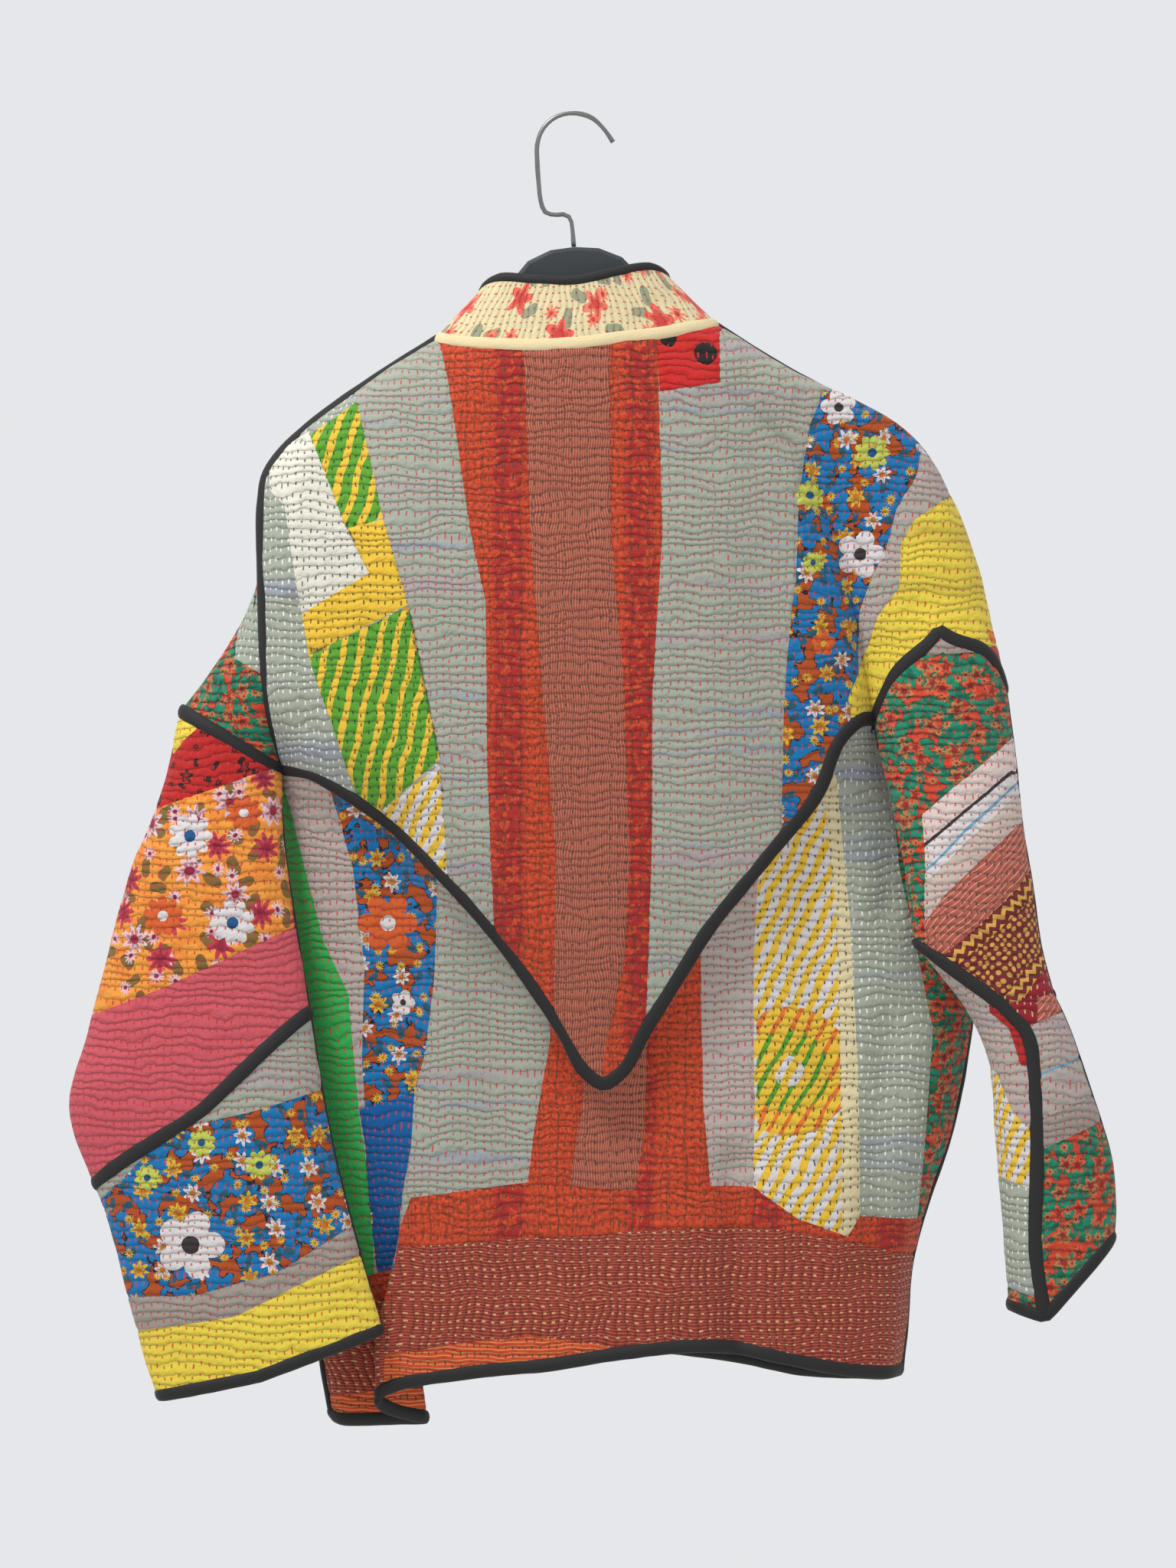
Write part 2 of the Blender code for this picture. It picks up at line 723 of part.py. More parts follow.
bend = rounded(bend, bend_way, corner, BEND_RADIUS)
corner_at, beyond = len(t) - 1, 30
by_top = [(bend[: corner_at + beyond], wide)]
by_ridge = [(bend[corner_at - beyond :], wide)]
lower_top = right_upper(t, 0 * t + 1)
lower_start = right_back(t, 0 * t)
panel("sleeve_upper_left", left_upper, 22, 7, (wide, wide, fine, fine), sleeve_cloth)
panel("sleeve_lower_left", left_lower, 22, 6, (wide, cuff, wide, wide), sleeve_cloth)
upper_rims = (wide + 0.3, [*by_top, (lower_top, PLAIN_SEAM)], fine, fine)
panel("sleeve_upper_right", right_upper, 24, 6, upper_rims, sleeve_cloth)
back_rims = ([(lower_start, PLAIN_SEAM)], cuff, by_ridge, fine)
panel("sleeve_lower_right_back", right_back, 6, 13, back_rims, sleeve_cloth)
front_rims = (by_top, cuff, fine, by_ridge)
panel("sleeve_lower_right_front", right_front, 15, 10, front_rims, sleeve_cloth)

# Piping in the seams and binding on the edges
span = np.linspace(0, 1, 240)
zero, one = 0 * span, 0 * span + 1


def seam(name, surface, u, v, half=PIPING_HALF, thick=PIPING_THICK, press=False, **more):
    """Piping along a line of a panel's surface."""
    points, normals = edge_frame(surface, u, v, press)
    return piping(name, points, normals, half, thick, **more)


yoke_share = lengths(yoke_point)[-1]
cap_share = lengths(cap_part(cap_right, 0, RIGHT_SHOULDER_TURN))[-1]
point_end = yoke_share / (yoke_share + cap_share)
seam("yoke_point_piping", back_yoke, span * point_end, one, press=True, ends=(TUCK, TUCK))
seam("shoulder_piping_left", back_yoke, zero, span, press=True, ends=(TUCK, TUCK))
seam("shoulder_piping_right", front_right_yoke, zero, span, ends=(TUCK, TUCK))
left_cap = lengths(cap_left)[-1]
left_start_share = left_cap / (left_cap + lengths(front_yoke_left)[-1])
right_cap = lengths(cap_part(cap_right, RIGHT_SHOULDER_TURN, 1))[-1]
right_start_share = right_cap / (right_cap + lengths(front_yoke_right)[-1])
plain = {"crown": False, "thick": FINE_THICK, "pitch": 20.0}
seam(
    "front_yoke_piping_left",
    front_left_yoke,
    left_start_share + span * (1 - left_start_share),
    one,
    ends=(2 * TUCK, SLANT_BUTT),
    **plain,
)
seam(
    "front_yoke_piping_right",
    front_right_yoke,
    right_start_share + span * (1 - right_start_share),
    one,
    ends=(2 * TUCK, SLANT_BUTT),
    **plain,
)
seam("side_piping_left", plain_back, zero, span, FINE_HALF, ends=(SLANT_BUTT, BUTT), **plain)
seam("side_piping_right", plain_back, one, span, FINE_HALF, ends=(SLANT_BUTT, BUTT), **plain)
ring_span = np.linspace(0, 1, 241)
start, end = 0 * ring_span, 0 * ring_span + 1
seam("cap_piping_left", left_upper, ring_span, start, ring=True, pitch=12.0)
seam("cap_piping_right", tube(RIGHT_UPPER), ring_span, start, ring=True, pitch=12.0)
seam("sleeve_diagonal_piping_left", left_upper, ring_span, end, ring=True)
seam("cuff_binding_left", left_lower, ring_span, end, CUFF_HALF, ring=True)
seam("cuff_binding_right", tube(RIGHT_LOWER), ring_span, end, CUFF_HALF, ring=True, pitch=12.0)
seam("sleeve_seam_upper_left", left_upper, zero, span, FINE_HALF, ends=(TUCK, BUTT), **plain)
seam("sleeve_seam_lower_left", left_lower, zero, span, ends=(BUTT, BUTT), crown=False, thick=FINE_THICK)
seam("sleeve_seam_upper_right", right_upper, zero, span, FINE_HALF, ends=(BUTT, BUTT), **plain)
seam("sleeve_seam_lower_right", right_back, one, span, FINE_HALF, ends=(BUTT, BUTT), **plain)
top_points, top_normals = edge_frame(right_front, t, 0 * t)
side_points, side_normals = edge_frame(right_front, 0 * t + 1, t)
bend_normals = rounded(np.vstack([top_normals[:-1], side_normals]), bend_way, corner, BEND_RADIUS)
piping("sleeve_ridge_piping_right", bend, bend_normals, PIPING_HALF, PIPING_THICK, (BUTT, SLANT_BUTT))
seam("collar_band", collar_wall, span, one, BAND_HALF, ends=(SLANT_BUTT, SLANT_BUTT), pitch=12.0)
seam(
    "collar_binding",
    collar_wall,
    span,
    zero,
    COLLAR_BINDING_HALF,
    ends=(SLANT_BUTT, SLANT_BUTT),
    pitch=13.0,
)

# Hem binding in one length, from one front edge round the back to the other
points_left, normals_left = edge_frame(front_left_low, span, one)
points_back, normals_back = edge_frame(lower_back, ring_span, end, True)
points_right, normals_right = edge_frame(front_right_low, span, one)
hem_points = np.vstack([points_left[::-1], points_back[1:], points_right[1:]])
hem_normals = np.vstack([-normals_left[::-1], normals_back[1:], -normals_right[1:]])
piping("hem_binding", hem_points, hem_normals, BINDING_HALF, PIPING_THICK, pitch=13.0)

# Front edge bindings, from the hem to the top of the collar
for name, collar_end, low, high, side in (
    ("front_edge_binding_left", collar_top[0], front_low_left, front_edge_left, 1),
    ("front_edge_binding_right", collar_top[-1], front_low_right, front_edge_right, -1),
):
    stand = evenly(np.array([high[0], collar_end]), 40)
    edge = np.vstack([low[::-1], high[::-1][1:], stand[1:]])
    outward = np.tile([0.0, 1.0, 0.0], (len(edge), 1))
    piping(name, edge, outward, BINDING_HALF, FINE_THICK, (BUTT, 0), crown=False, pitch=30.0)

# Hanger body: one flat outline, rounded at its rims, tilted a little about its neck
HANGER_TOP = (
    (0, 0),
    (16, -1.5),
    (31, -8),
    (41, -19),
    (56, -35),
    (91, -61),
    (133, -88.5),
    (158, -103),
    (171, -112),
    (179, -121),
)
HANGER_UNDER = ((179, -130), (171, -132), (148, -120), (110, -99), (70, -79), (35, -67), (0, -63))
right_half = [*HANGER_TOP, *HANGER_UNDER]
outline = right_half + [(-x, z) for x, z in right_half[-2:0:-1]]
RIM = 2.5
hanger_curve = bpy.data.curves.new("hanger_body", "CURVE")
hanger_curve.dimensions = "2D"
hanger_curve.fill_mode = "BOTH"
hanger_curve.extrude = (HANGER_HALF_DEPTH - RIM) * MM
hanger_curve.bevel_depth = RIM * MM
hanger_curve.bevel_resolution = 0
hanger_curve.offset = -RIM * MM
spline = hanger_curve.splines.new("POLY")
spline.points.add(len(outline) - 1)
for point, (x, z) in zip(spline.points, outline):
    point.co = (x * MM, z * MM, 0, 1)
spline.use_cyclic_u = True
hanger_curve.materials.append(plastic)
hanger = bpy.data.objects.new("hanger_body", hanger_curve)
jacket.objects.link(hanger)
hanger.rotation_euler = (math.pi / 2, -HANGER_TILT, 0)
hanger.location = (HANGER_NECK[0] * MM, 0, HANGER_NECK[1] * MM)

# Hook: steel wire, its crown's underside at the origin: x, z
HOOK = (
    (24.5, -17.5),
    (19, -9.5),
    (10, -1.2),
    (0.5, 1.5),
    (-14.5, -1.6),
    (-22, -9),
    (-25.5, -19),
    (-25.5, -30),
    (-24.5, -45),
    (-23, -57),
    (-20.5, -63.5),
    (-15, -65.5),
    (-7.5, -65.3),
    (-3.8, -67.5),
    (-2.6, -73),
    (-1.4, -86.5),
)
wire = bpy.data.curves.new("hanger_hook", "CURVE")
wire.dimensions = "3D"
wire.bevel_depth = WIRE / 2 * MM
wire.bevel_resolution = 1
wire.use_fill_caps = True
path = dense([(x, 0, z) for x, z in HOOK], 44)
spline = wire.splines.new("POLY")
spline.points.add(len(path) - 1)
for point, place in zip(spline.points, path):
    point.co = (*(place * MM), 1)
wire.materials.append(steel)
hook = bpy.data.objects.new("hanger_hook", wire)
jacket.objects.link(hook)
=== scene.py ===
# %% [markdown]
# # A patchwork jacket on its hanger
# The real jacket is cut from kantha quilt: two or three layers of printed and woven cloth held together by
# rows of running stitch, with a black bias strip over every seam. This file dresses the plain CAD panels
# with that cloth. Each panel becomes one thin sheet whose faces follow the borders of its patches.

import math

import bpy
import numpy as np
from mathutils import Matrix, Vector, noise
from mathutils.geometry import delaunay_2d_cdt


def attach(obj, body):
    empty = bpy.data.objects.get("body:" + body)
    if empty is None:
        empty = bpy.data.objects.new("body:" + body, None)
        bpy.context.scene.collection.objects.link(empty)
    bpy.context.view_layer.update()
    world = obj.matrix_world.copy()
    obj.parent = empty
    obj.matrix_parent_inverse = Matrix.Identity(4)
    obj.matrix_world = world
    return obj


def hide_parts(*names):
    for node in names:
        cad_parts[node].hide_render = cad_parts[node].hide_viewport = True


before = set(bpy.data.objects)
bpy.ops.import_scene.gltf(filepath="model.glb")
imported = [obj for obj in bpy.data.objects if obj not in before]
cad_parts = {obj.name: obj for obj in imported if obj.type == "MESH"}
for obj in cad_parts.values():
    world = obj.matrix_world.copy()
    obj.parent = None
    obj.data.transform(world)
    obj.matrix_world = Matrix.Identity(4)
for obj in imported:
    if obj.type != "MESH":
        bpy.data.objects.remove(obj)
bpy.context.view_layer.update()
MM = 0.001
print("CAD nodes:", len(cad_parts))

# %% [markdown]
# ## A drawing in half millimetres
# Every patch, flower and stripe is read off one ruled drawing of the jacket's back: steps of half a
# millimetre to the right and down. `spot` turns such a pair into x and z, in millimetres from the hook.

# %% Rulings of the drawing
HOOK_STEP = (752, 142)
SHEET_STEPS = (1536, 2048)
STEP = 0.5


def spot(points):
    """x and z in millimetres of points on the drawing."""
    points = np.asarray(points, float)
    return np.stack([(points[..., 0] - HOOK_STEP[0]) * STEP, (HOOK_STEP[1] - points[..., 1]) * STEP], axis=-1)


# %% [markdown]
# ## Camera, floor and light
# The jacket was seen square on, from far enough that it shows no perspective to speak of. Two large soft
# lamps and a pale surround give the even light of a white room. The floor lies out of sight, for the other
# views.

# %% The camera
CLOTH_DEPTH = -0.035
DISTANCE = 3.4
SENSOR = 36
camera = bpy.data.objects.new("camera", bpy.data.cameras.new("camera"))
bpy.context.scene.collection.objects.link(camera)
centre = spot((SHEET_STEPS[0] / 2, SHEET_STEPS[1] / 2)) * MM
camera.location = (centre[0], CLOTH_DEPTH - DISTANCE, centre[1])
camera.rotation_euler = (math.pi / 2, 0, 0)
camera.data.sensor_width = SENSOR
camera.data.lens = SENSOR * DISTANCE / (SHEET_STEPS[1] * STEP * MM)
bpy.context.scene.camera = camera
print("lens", round(camera.data.lens, 1))


# %% Colours are given as they look on a screen
def paint(red, green, blue):
    """A screen colour from 0 to 255 as the linear colour that shaders take."""
    shares = [value / 255 for value in (red, green, blue)]
    return (*(s / 12.92 if s <= 10 / 255 else ((s + 0.055) / 1.055) ** 2.4 for s in shares), 1.0)


# %% Soft light all round, a lamp from the upper left and a weaker one from the right
world = bpy.data.worlds.new("pale room")
bpy.context.scene.world = world
world.use_nodes = True
world.node_tree.nodes["Background"].inputs[0].default_value = paint(230, 231, 234)
world.node_tree.nodes["Background"].inputs[1].default_value = 1.0
bpy.context.scene.view_settings.view_transform = "Standard"


def lamp(name, place, aim, size, power):
    """A square area lamp that looks at a point."""
    data = bpy.data.lights.new(name, "AREA")
    data.size, data.energy = size, power
    made = bpy.data.objects.new(name, data)
    bpy.context.scene.collection.objects.link(made)
    made.location = place
    made.rotation_euler = (Vector(aim) - Vector(place)).to_track_quat("-Z", "Y").to_euler()


JACKET_MIDDLE = (0.0, 0.0, -0.45)
lamp("key", (-1.0, -0.9, 1.4), JACKET_MIDDLE, 0.7, 34)
lamp("fill", (1.9, -2.2, 0.1), JACKET_MIDDLE, 2.0, 4)


# %% A floor for the views from above and from the sides
FLOOR, REACH = -1.3, 1.9
corners = [(-REACH, -REACH, FLOOR), (REACH, -REACH, FLOOR), (REACH, REACH, FLOOR), (-REACH, REACH, FLOOR)]
floor_mesh = bpy.data.meshes.new("floor")
floor_mesh.from_pydata(corners, [], [(0, 1, 2, 3)])
floor = bpy.data.objects.new("floor", floor_mesh)
bpy.context.scene.collection.objects.link(floor)
print("floor", 2 * REACH, "m wide")

# %% [markdown]
# ## Seams
# A pattern maker starts from the seams. They are the same curves as in the CAD source: rows of x, y and z
# in millimetres, with y towards the open front. Smooth curves through them bound every panel.

# %% Collar, shoulders and the yoke's point
NECK = (
    (-10, 28, -214), (-35, 28, -199), (-62, 26, -176), (-81, 19, -158), (-89, 9, -150),
    (-91, -1, -147), (-87, -13, -148.5), (-73, -21, -151), (-44, -29, -153.5), (0, -33, -153),
    (30, -31, -149), (55, -27, -146), (76, -20, -141.5), (87, -12, -139), (91, 0, -137.5),
    (89, 9, -140), (82, 19, -149), (62, 26, -168), (35, 28, -191), (10, 28, -208),
)
COLLAR_TOP = (
    (-11, 24, -176), (-32, 21, -156), (-52, 13, -131), (-61, 0, -115), (-52, -13, -109),
    (-28, -21, -110), (0, -24, -111), (28, -21, -105), (50, -13, -101.5), (59.5, 0, -107),
    (50, 13, -124), (31, 21, -150), (11, 24, -171),
)
SHOULDER_LEFT = (
    (-130, -5, -172), (-156, -6, -190), (-179, -8, -208), (-194, -11, -223), (-203, -15, -237),
    (-206, -19, -256), (-206, -22, -297), (-205, -22, -338), (-203, -18, -390),
)
SHOULDER_RIGHT = (
    (136, 3, -166), (166, 6, -182), (196, 10, -197), (222, 14, -214), (238, 18, -236),
    (250, 20, -264), (259, 21, -292), (266, 21, -322), (270, 20, -350),
)
YOKE_POINT = (
    (-171, -24, -436), (-145, -31, -451), (-120, -36, -469), (-90, -40, -498), (-58, -42, -533),
    (-38, -43, -559), (-10, -44, -600), (8, -45, -630), (18, -45, -636.5), (27, -45, -631),
    (46, -44, -600), (69, -43, -563), (85, -42, -538), (126, -38, -487), (159, -32, -446),
    (174, -25, -411), (187, -15, -399),
)
FRONT_YOKE = ((176, 22, -440), (140, 28, -462), (90, 32, -500), (45, 34, -535), (10, 34, -560))

# %% Sides, hem and centre front
SIDE_LEFT = (
    (-195, 14, -452), (-197, 18, -486), (-197, 18, -535), (-190, 14, -600), (-181, 12, -680),
    (-172, 9, -760), (-169, 6, -815), (-162, 4, -857),
)
SIDE_RIGHT = (
    (200, 12, -413), (210, 17, -438), (233, 18, -490), (253, 16, -540), (262, 15, -580),
    (258, 12, -623), (247, 9, -674), (229, 8, -728), (221, 6, -760), (218, 5, -800), (215, 4, -827),
)
HEM_BACK = (
    (-162, 4, -857), (-157, -8, -859), (-145, -15, -857), (-130, -22, -851), (-110, -31, -841),
    (-88, -38, -830), (-69, -41, -825), (-17, -45, -819), (33, -46, -811), (85, -45, -807),
    (112, -43, -810), (136, -41, -815), (180, -33, -824), (205, -17, -827), (215, 4, -827),
)
HEM_SIDE_RIGHT = ((205, 15, -831), (185, 20, -831))
HEM_FRONT_RIGHT = ((150, 20, -829), (110, 29, -822), (60, 33, -816), (9, 34, -812))
HEM_FRONT_LEFT = ((-150, 20, -852), (-110, 29, -836), (-60, 33, -820), (-9, 34, -812))
CHEST, WAIST = (9, 31, -380), (9, 35, -700)
FOLD = {"at": -114.0, "half": 40.0, "over": 30.0, "deep": 8.0, "drop": 9.0, "from": 0.42}
BACK_CREASES = (
    (-182, -325, -176, -402, 9, 6), (208, -434, 206, -520, 11, 6), (103, -690, 105, -812, 12, 8),
    (-122, -470, -112, -640, 17, 7), (150, -468, 168, -640, 20, 5), (-60, -560, -30, -760, 22, 4),
    (-150, -245, -98, -470, 24, 4), (120, -230, 140, -440, 26, 4), (66, -600, 62, -770, 18, -3),
    (206, -600, 190, -760, 14, 5),
)

# %% Rings of the sleeves
RING_COLUMNS = ("xi", "zi", "xb", "zb", "xo", "zo", "side", "back", "front", "lift")
LEFT_UPPER = (
    (-195, -431, -230, -410, -260, -393, 2, -20, 24, 0),
    (-194, -458, -234, -458, -274, -455, -13, -32, 10, 0),
    (-191, -488, -241, -494, -290, -496, -20, -40, 4, 0),
    (-186, -521, -246, -538, -305, -550, -25, -47, 0, 0),
    (-181, -552, -249, -580, -318, -603, -29, -52, -2, 0),
    (-177, -575, -251, -618, -330, -652, -32, -56, -4, 0),
    (-174, -590, -243, -653, -314, -702, -34, -59, -6, 2),
)
LEFT_LOWER = (
    (-174, -590, -243, -653, -314, -702, -34, -59, -6, 2),
    (-167, -636, -236, -690, -306, -720, -37, -61, -11, 0),
    (-157, -686, -228, -728, -298, -748, -40, -63, -16, 0),
    (-144, -736, -217, -768, -289, -781, -44, -65, -21, 0),
    (-132, -778, -207, -806, -279, -816, -48, -67, -27, 0),
    (-127, -795, -205, -824, -271, -838, -50, -68, -30, 0),
)
RIGHT_UPPER = (
    (197, -398, 238, -340, 283, -378, 0, -24, 24, 12),
    (201, -420, 244, -392, 288, -422, -10, -34, 12, 6),
    (208, -452, 250, -446, 292, -468, -20, -43, 2, 0),
    (214, -488, 256, -495, 298, -508, -28, -49, -6, 0),
    (219, -520, 263, -542, 303, -546, -32, -52, -10, 0),
    (223, -546, 277, -584, 311, -578, -34, -55, -12, 0),
)
RIGHT_LOWER = (
    (223, -546, 277, -584, 311, -578, -34, -55, -12, 0),
    (256, -588, 294, -606, 322, -602, -34, -57, -13, 0),
    (271, -626, 298, -644, 335, -640, -35, -59, -14, 0),
    (276, -684, 299, -692, 348, -682, -36, -60, -16, 0),
    (280, -738, 298, -742, 351, -714, -38, -61, -19, 0),
    (283, -780, 304, -786, 350, -736, -40, -62, -22, 0),
)
RIGHT_SHOULDER_TURN = 0.60
NECK_LEFT, NECK_RIGHT = (-90.6, -4.0), (90.8, 2.5)
print("creases of the back:", len(BACK_CREASES))


# %% [markdown]
# ## Curves and surfaces
# A panel of cloth held by four seams is close to the surface that blends between them. A sleeve is a
# surface through its rings. Both are functions of two shares, u across and v down, so the same form can be
# sampled as finely as the stitching needs.

# %% Curves
def lengths(points):
    """Distance along the points from the first one."""
    return np.concatenate([[0.0], np.cumsum(np.linalg.norm(np.diff(points, axis=0), axis=1))])


def evenly(points, count):
    """The same line with evenly spaced points."""
    way = lengths(points)
    wanted = np.linspace(0, way[-1], count)
    return np.stack([np.interp(wanted, way, points[:, k]) for k in range(3)], axis=1)


def dense(rows, count=240):
    """A smooth curve through the rows, as evenly spaced points."""
    p = np.array(rows, float)
    gaps = np.linalg.norm(np.diff(p, axis=0), axis=1)
    slopes = np.diff(p, axis=0) / gaps[:, None]
    tangents = np.vstack([slopes[:1], slopes])
    weighted = slopes[:-1] * gaps[1:, None] + slopes[1:] * gaps[:-1, None]
    tangents[1:-1] = weighted / (gaps[:-1] + gaps[1:])[:, None]
    t = np.linspace(0, 1, 24, endpoint=False)[:, None]
    pieces = []
    for i, gap in enumerate(gaps):
        rise = (2 * t**3 - 3 * t**2 + 1) * p[i] + (3 * t**2 - 2 * t**3) * p[i + 1]
        bend = (t**3 - 2 * t**2 + t) * tangents[i] + (t**3 - t**2) * tangents[i + 1]
        pieces.append(rise + bend * gap)
    return evenly(np.vstack([*pieces, p[-1:]]), count)


def join(*curves):
    """Curves end to end, as evenly spaced points."""
    return evenly(np.vstack([curves[0], *(c[1:] for c in curves[1:])]), 400)


def nearest(curve, place):
    """Index of the curve's point that is nearest to a place, given by its first coordinates."""
    return int(np.linalg.norm(curve[:, : len(place)] - place, axis=1).argmin())


def along(curve, share):
    """Points at shares of the length of an evenly spaced curve."""
    at = np.linspace(0, 1, len(curve))
    return np.stack([np.interp(share, at, curve[:, k]) for k in range(3)], axis=-1)


def mirrored(rows):
    """The rows on the other side of the centre front."""
    return [(-x, y, z) for x, y, z in rows]


# %% The surface between four seams
def coons(top, bottom, left, right, fade=1.0):
    """A surface between four curves. fade over 1 keeps the bottom's shape low down."""
    def surface(u, v):
        f, g = (v**fade)[..., None], u[..., None]
        across = (1 - f) * along(top, u) + f * along(bottom, u)
        down = (1 - g) * along(left, v) + g * along(right, v)
        high = (1 - g) * top[0] + g * top[-1]
        low = (1 - g) * bottom[0] + g * bottom[-1]
        return across + down - (1 - f) * high - f * low
    return surface


# %% Swelling and creases
BULGE, RISE = 2.4, 0.6
BACK_STARTS = 14.0


def swollen(surface, depth):
    """The surface with its middle moved in depth, quickly near its rims."""
    def moved(u, v):
        point = surface(u, v)
        across = (1 - np.abs(2 * u - 1) ** BULGE) ** (1 / BULGE)
        point[..., 1] += depth * across * (4 * v * (1 - v)) ** RISE
        return point
    return moved


def pressed(surface):
    """The surface with the back's soft troughs and ridges pressed in."""
    def moved(u, v):
        point = surface(u, v)
        toward = np.clip(-point[..., 1] / BACK_STARTS, 0, 1)
        for x0, z0, x1, z1, width, depth in BACK_CREASES:
            run = np.array([x1 - x0, z1 - z0], float)
            rel = np.stack([point[..., 0] - x0, point[..., 2] - z0], axis=-1)
            t = np.clip((rel @ run) / (run @ run), 0, 1)
            off = np.linalg.norm(rel - t[..., None] * run, axis=-1)
            point[..., 1] = point[..., 1] + depth * toward * np.exp(-((off / width) ** 2))
        return point
    return moved


# %% The surface round a sleeve's rings
def oval(row, turn):
    """Points of one sleeve ring. It turns from the inner end over the back to the outer end."""
    r = dict(zip(RING_COLUMNS, row))
    inner = np.array([r["xi"], r["side"], r["zi"]], float)
    outer = np.array([r["xo"], r["side"], r["zo"]], float)
    back = np.array([r["xb"], r["back"], r["zb"]], float)
    front = (inner + outer) / 2
    front[1] = r["front"]
    angle = (np.asarray(turn, float) % 1.0) * 2 * math.pi
    side = np.where((np.cos(angle) > 0)[..., None], inner, outer)
    middle = np.where((np.sin(angle) > 0)[..., None], back, front)
    point = side + (middle - side) * (1 - np.abs(np.cos(angle)))[..., None]
    point[..., 1] = side[..., 1] + (middle[..., 1] - side[..., 1]) * np.abs(np.sin(angle))
    point[..., 2] += np.where(np.sin(angle) > 0, r["lift"] * np.sin(2 * angle) ** 2, 0)
    return point


def tube(rows, start=0.0, end=1.0):
    """A surface round a sleeve's rings. u goes from the start turn to the end turn, v from ring to ring."""
    last = len(rows) - 1

    def surface(u, v):
        rings = [oval(row, start + (end - start) * u) for row in rows]
        place = np.clip(v * last, 0, last - 1e-9)
        k = place.astype(int)
        t = (place - k)[..., None]
        pick = lambda i: np.choose(np.clip(i, 0, last)[..., None], rings)
        a, b, c, d = pick(k - 1), pick(k), pick(k + 1), pick(k + 2)
        a = np.where((k == 0)[..., None], 2 * b - c, a)
        d = np.where((k == last - 1)[..., None], 2 * c - b, d)
        bend = (2 * a - 5 * b + 4 * c - d) * t**2 + (3 * b - a - 3 * c + d) * t**3
        return b + 0.5 * ((c - a) * t + bend)
    return surface


# %% The seam curves
CAP_STEPS = 240
turns = np.linspace(0, 1, CAP_STEPS + 1)
cap_left, cap_right = oval(LEFT_UPPER[0], turns), oval(RIGHT_UPPER[0], turns)


def cap_part(ring, first, last):
    """Stretch of an armhole's ring between two turns."""
    return evenly(ring[round(first * CAP_STEPS) : round(last * CAP_STEPS) + 1], 160)


neck, collar_top = dense(NECK, 600), dense(COLLAR_TOP, 400)
half_way = len(neck) // 2
left_start = nearest(neck[:half_way], NECK_LEFT)
right_start = half_way + nearest(neck[half_way:], NECK_RIGHT)
under_left, under_right = cap_left[0], cap_right[0]
shoulder_left = dense([neck[left_start], *SHOULDER_LEFT, under_left])
shoulder_right = dense([neck[right_start], *SHOULDER_RIGHT, oval(RIGHT_UPPER[0], RIGHT_SHOULDER_TURN)])
yoke_point = dense([under_left, *YOKE_POINT, under_right], 400)
front_yoke_left = dense([under_left, *mirrored(FRONT_YOKE)])
front_yoke_right = dense([under_right, *FRONT_YOKE])
side_left, side_right = dense([under_left, *SIDE_LEFT]), dense([under_right, *SIDE_RIGHT])
hem_back = dense(HEM_BACK, 400)
hem_left = dense([HEM_BACK[0], *HEM_FRONT_LEFT])
hem_right = dense([HEM_BACK[-1], *HEM_SIDE_RIGHT, *HEM_FRONT_RIGHT])
front_edge_left = dense([neck[0], *mirrored([CHEST]), front_yoke_left[-1]])
front_edge_right = dense([neck[-1], CHEST, front_yoke_right[-1]])
front_low_left = dense([front_yoke_left[-1], *mirrored([WAIST]), hem_left[-1]])
front_low_right = dense([front_yoke_right[-1], WAIST, hem_right[-1]])

print("point of the yoke:", round(lengths(yoke_point)[-1]), "mm of piping")

# %% The surfaces of the body's panels: how far each swells, and how late its lower seam takes over
SWELL = {"back": -4.0, "front_left": 15.5, "front_right": 9.0}
LATE = {"back": 1.2, "front_left": 2.2, "front_right": 1.6}
right_cap_back = cap_part(cap_right, 0, RIGHT_SHOULDER_TURN)
right_cap_front = cap_part(cap_right, RIGHT_SHOULDER_TURN, 1)
back_yoke = pressed(swollen(coons(
    neck[left_start : right_start + 1], join(yoke_point, right_cap_back), shoulder_left, shoulder_right,
    LATE["back"],
), SWELL["back"]))
front_left_yoke = swollen(coons(
    neck[: left_start + 1][::-1], join(cap_left, front_yoke_left), shoulder_left, front_edge_left,
    LATE["front_left"],
), SWELL["front_left"])
front_right_yoke = swollen(coons(
    neck[right_start:], join(right_cap_front, front_yoke_right), shoulder_right, front_edge_right,
    LATE["front_right"],
), SWELL["front_right"])
plain_back = coons(yoke_point, hem_back, side_left, side_right)
front_left_low = coons(front_yoke_left, hem_left, side_left, front_low_left)
front_right_low = coons(front_yoke_right, hem_right, side_right, front_low_right)

# %% The fold in the lower back
fold_middle = nearest(hem_back, (FOLD["at"],)) / (len(hem_back) - 1)
fold_half = FOLD["half"] / lengths(hem_back)[-1]


def folded_back(u, v):
    """The lower back with its deep fold, which opens out towards the yoke."""
    point = plain_back(u, v)
    t = (u - fold_middle) / fold_half
    grown = np.clip((v - FOLD["from"]) / (1 - FOLD["from"]), 0, 1)
    grown = grown * grown * (3 - 2 * grown)
    point[..., 0] -= FOLD["over"] * grown * 2 * math.exp(0.5) * t * np.exp(-2 * t**2)
    point[..., 1] -= FOLD["deep"] * grown * np.tanh(3 * t) * np.exp(-(t**2))
    point[..., 2] -= FOLD["drop"] * grown * np.exp(-((t + 0.1) ** 2) * 3)
    return point


lower_back = pressed(folded_back)
print("hem of the back:", round(lengths(hem_back)[-1]), "mm")


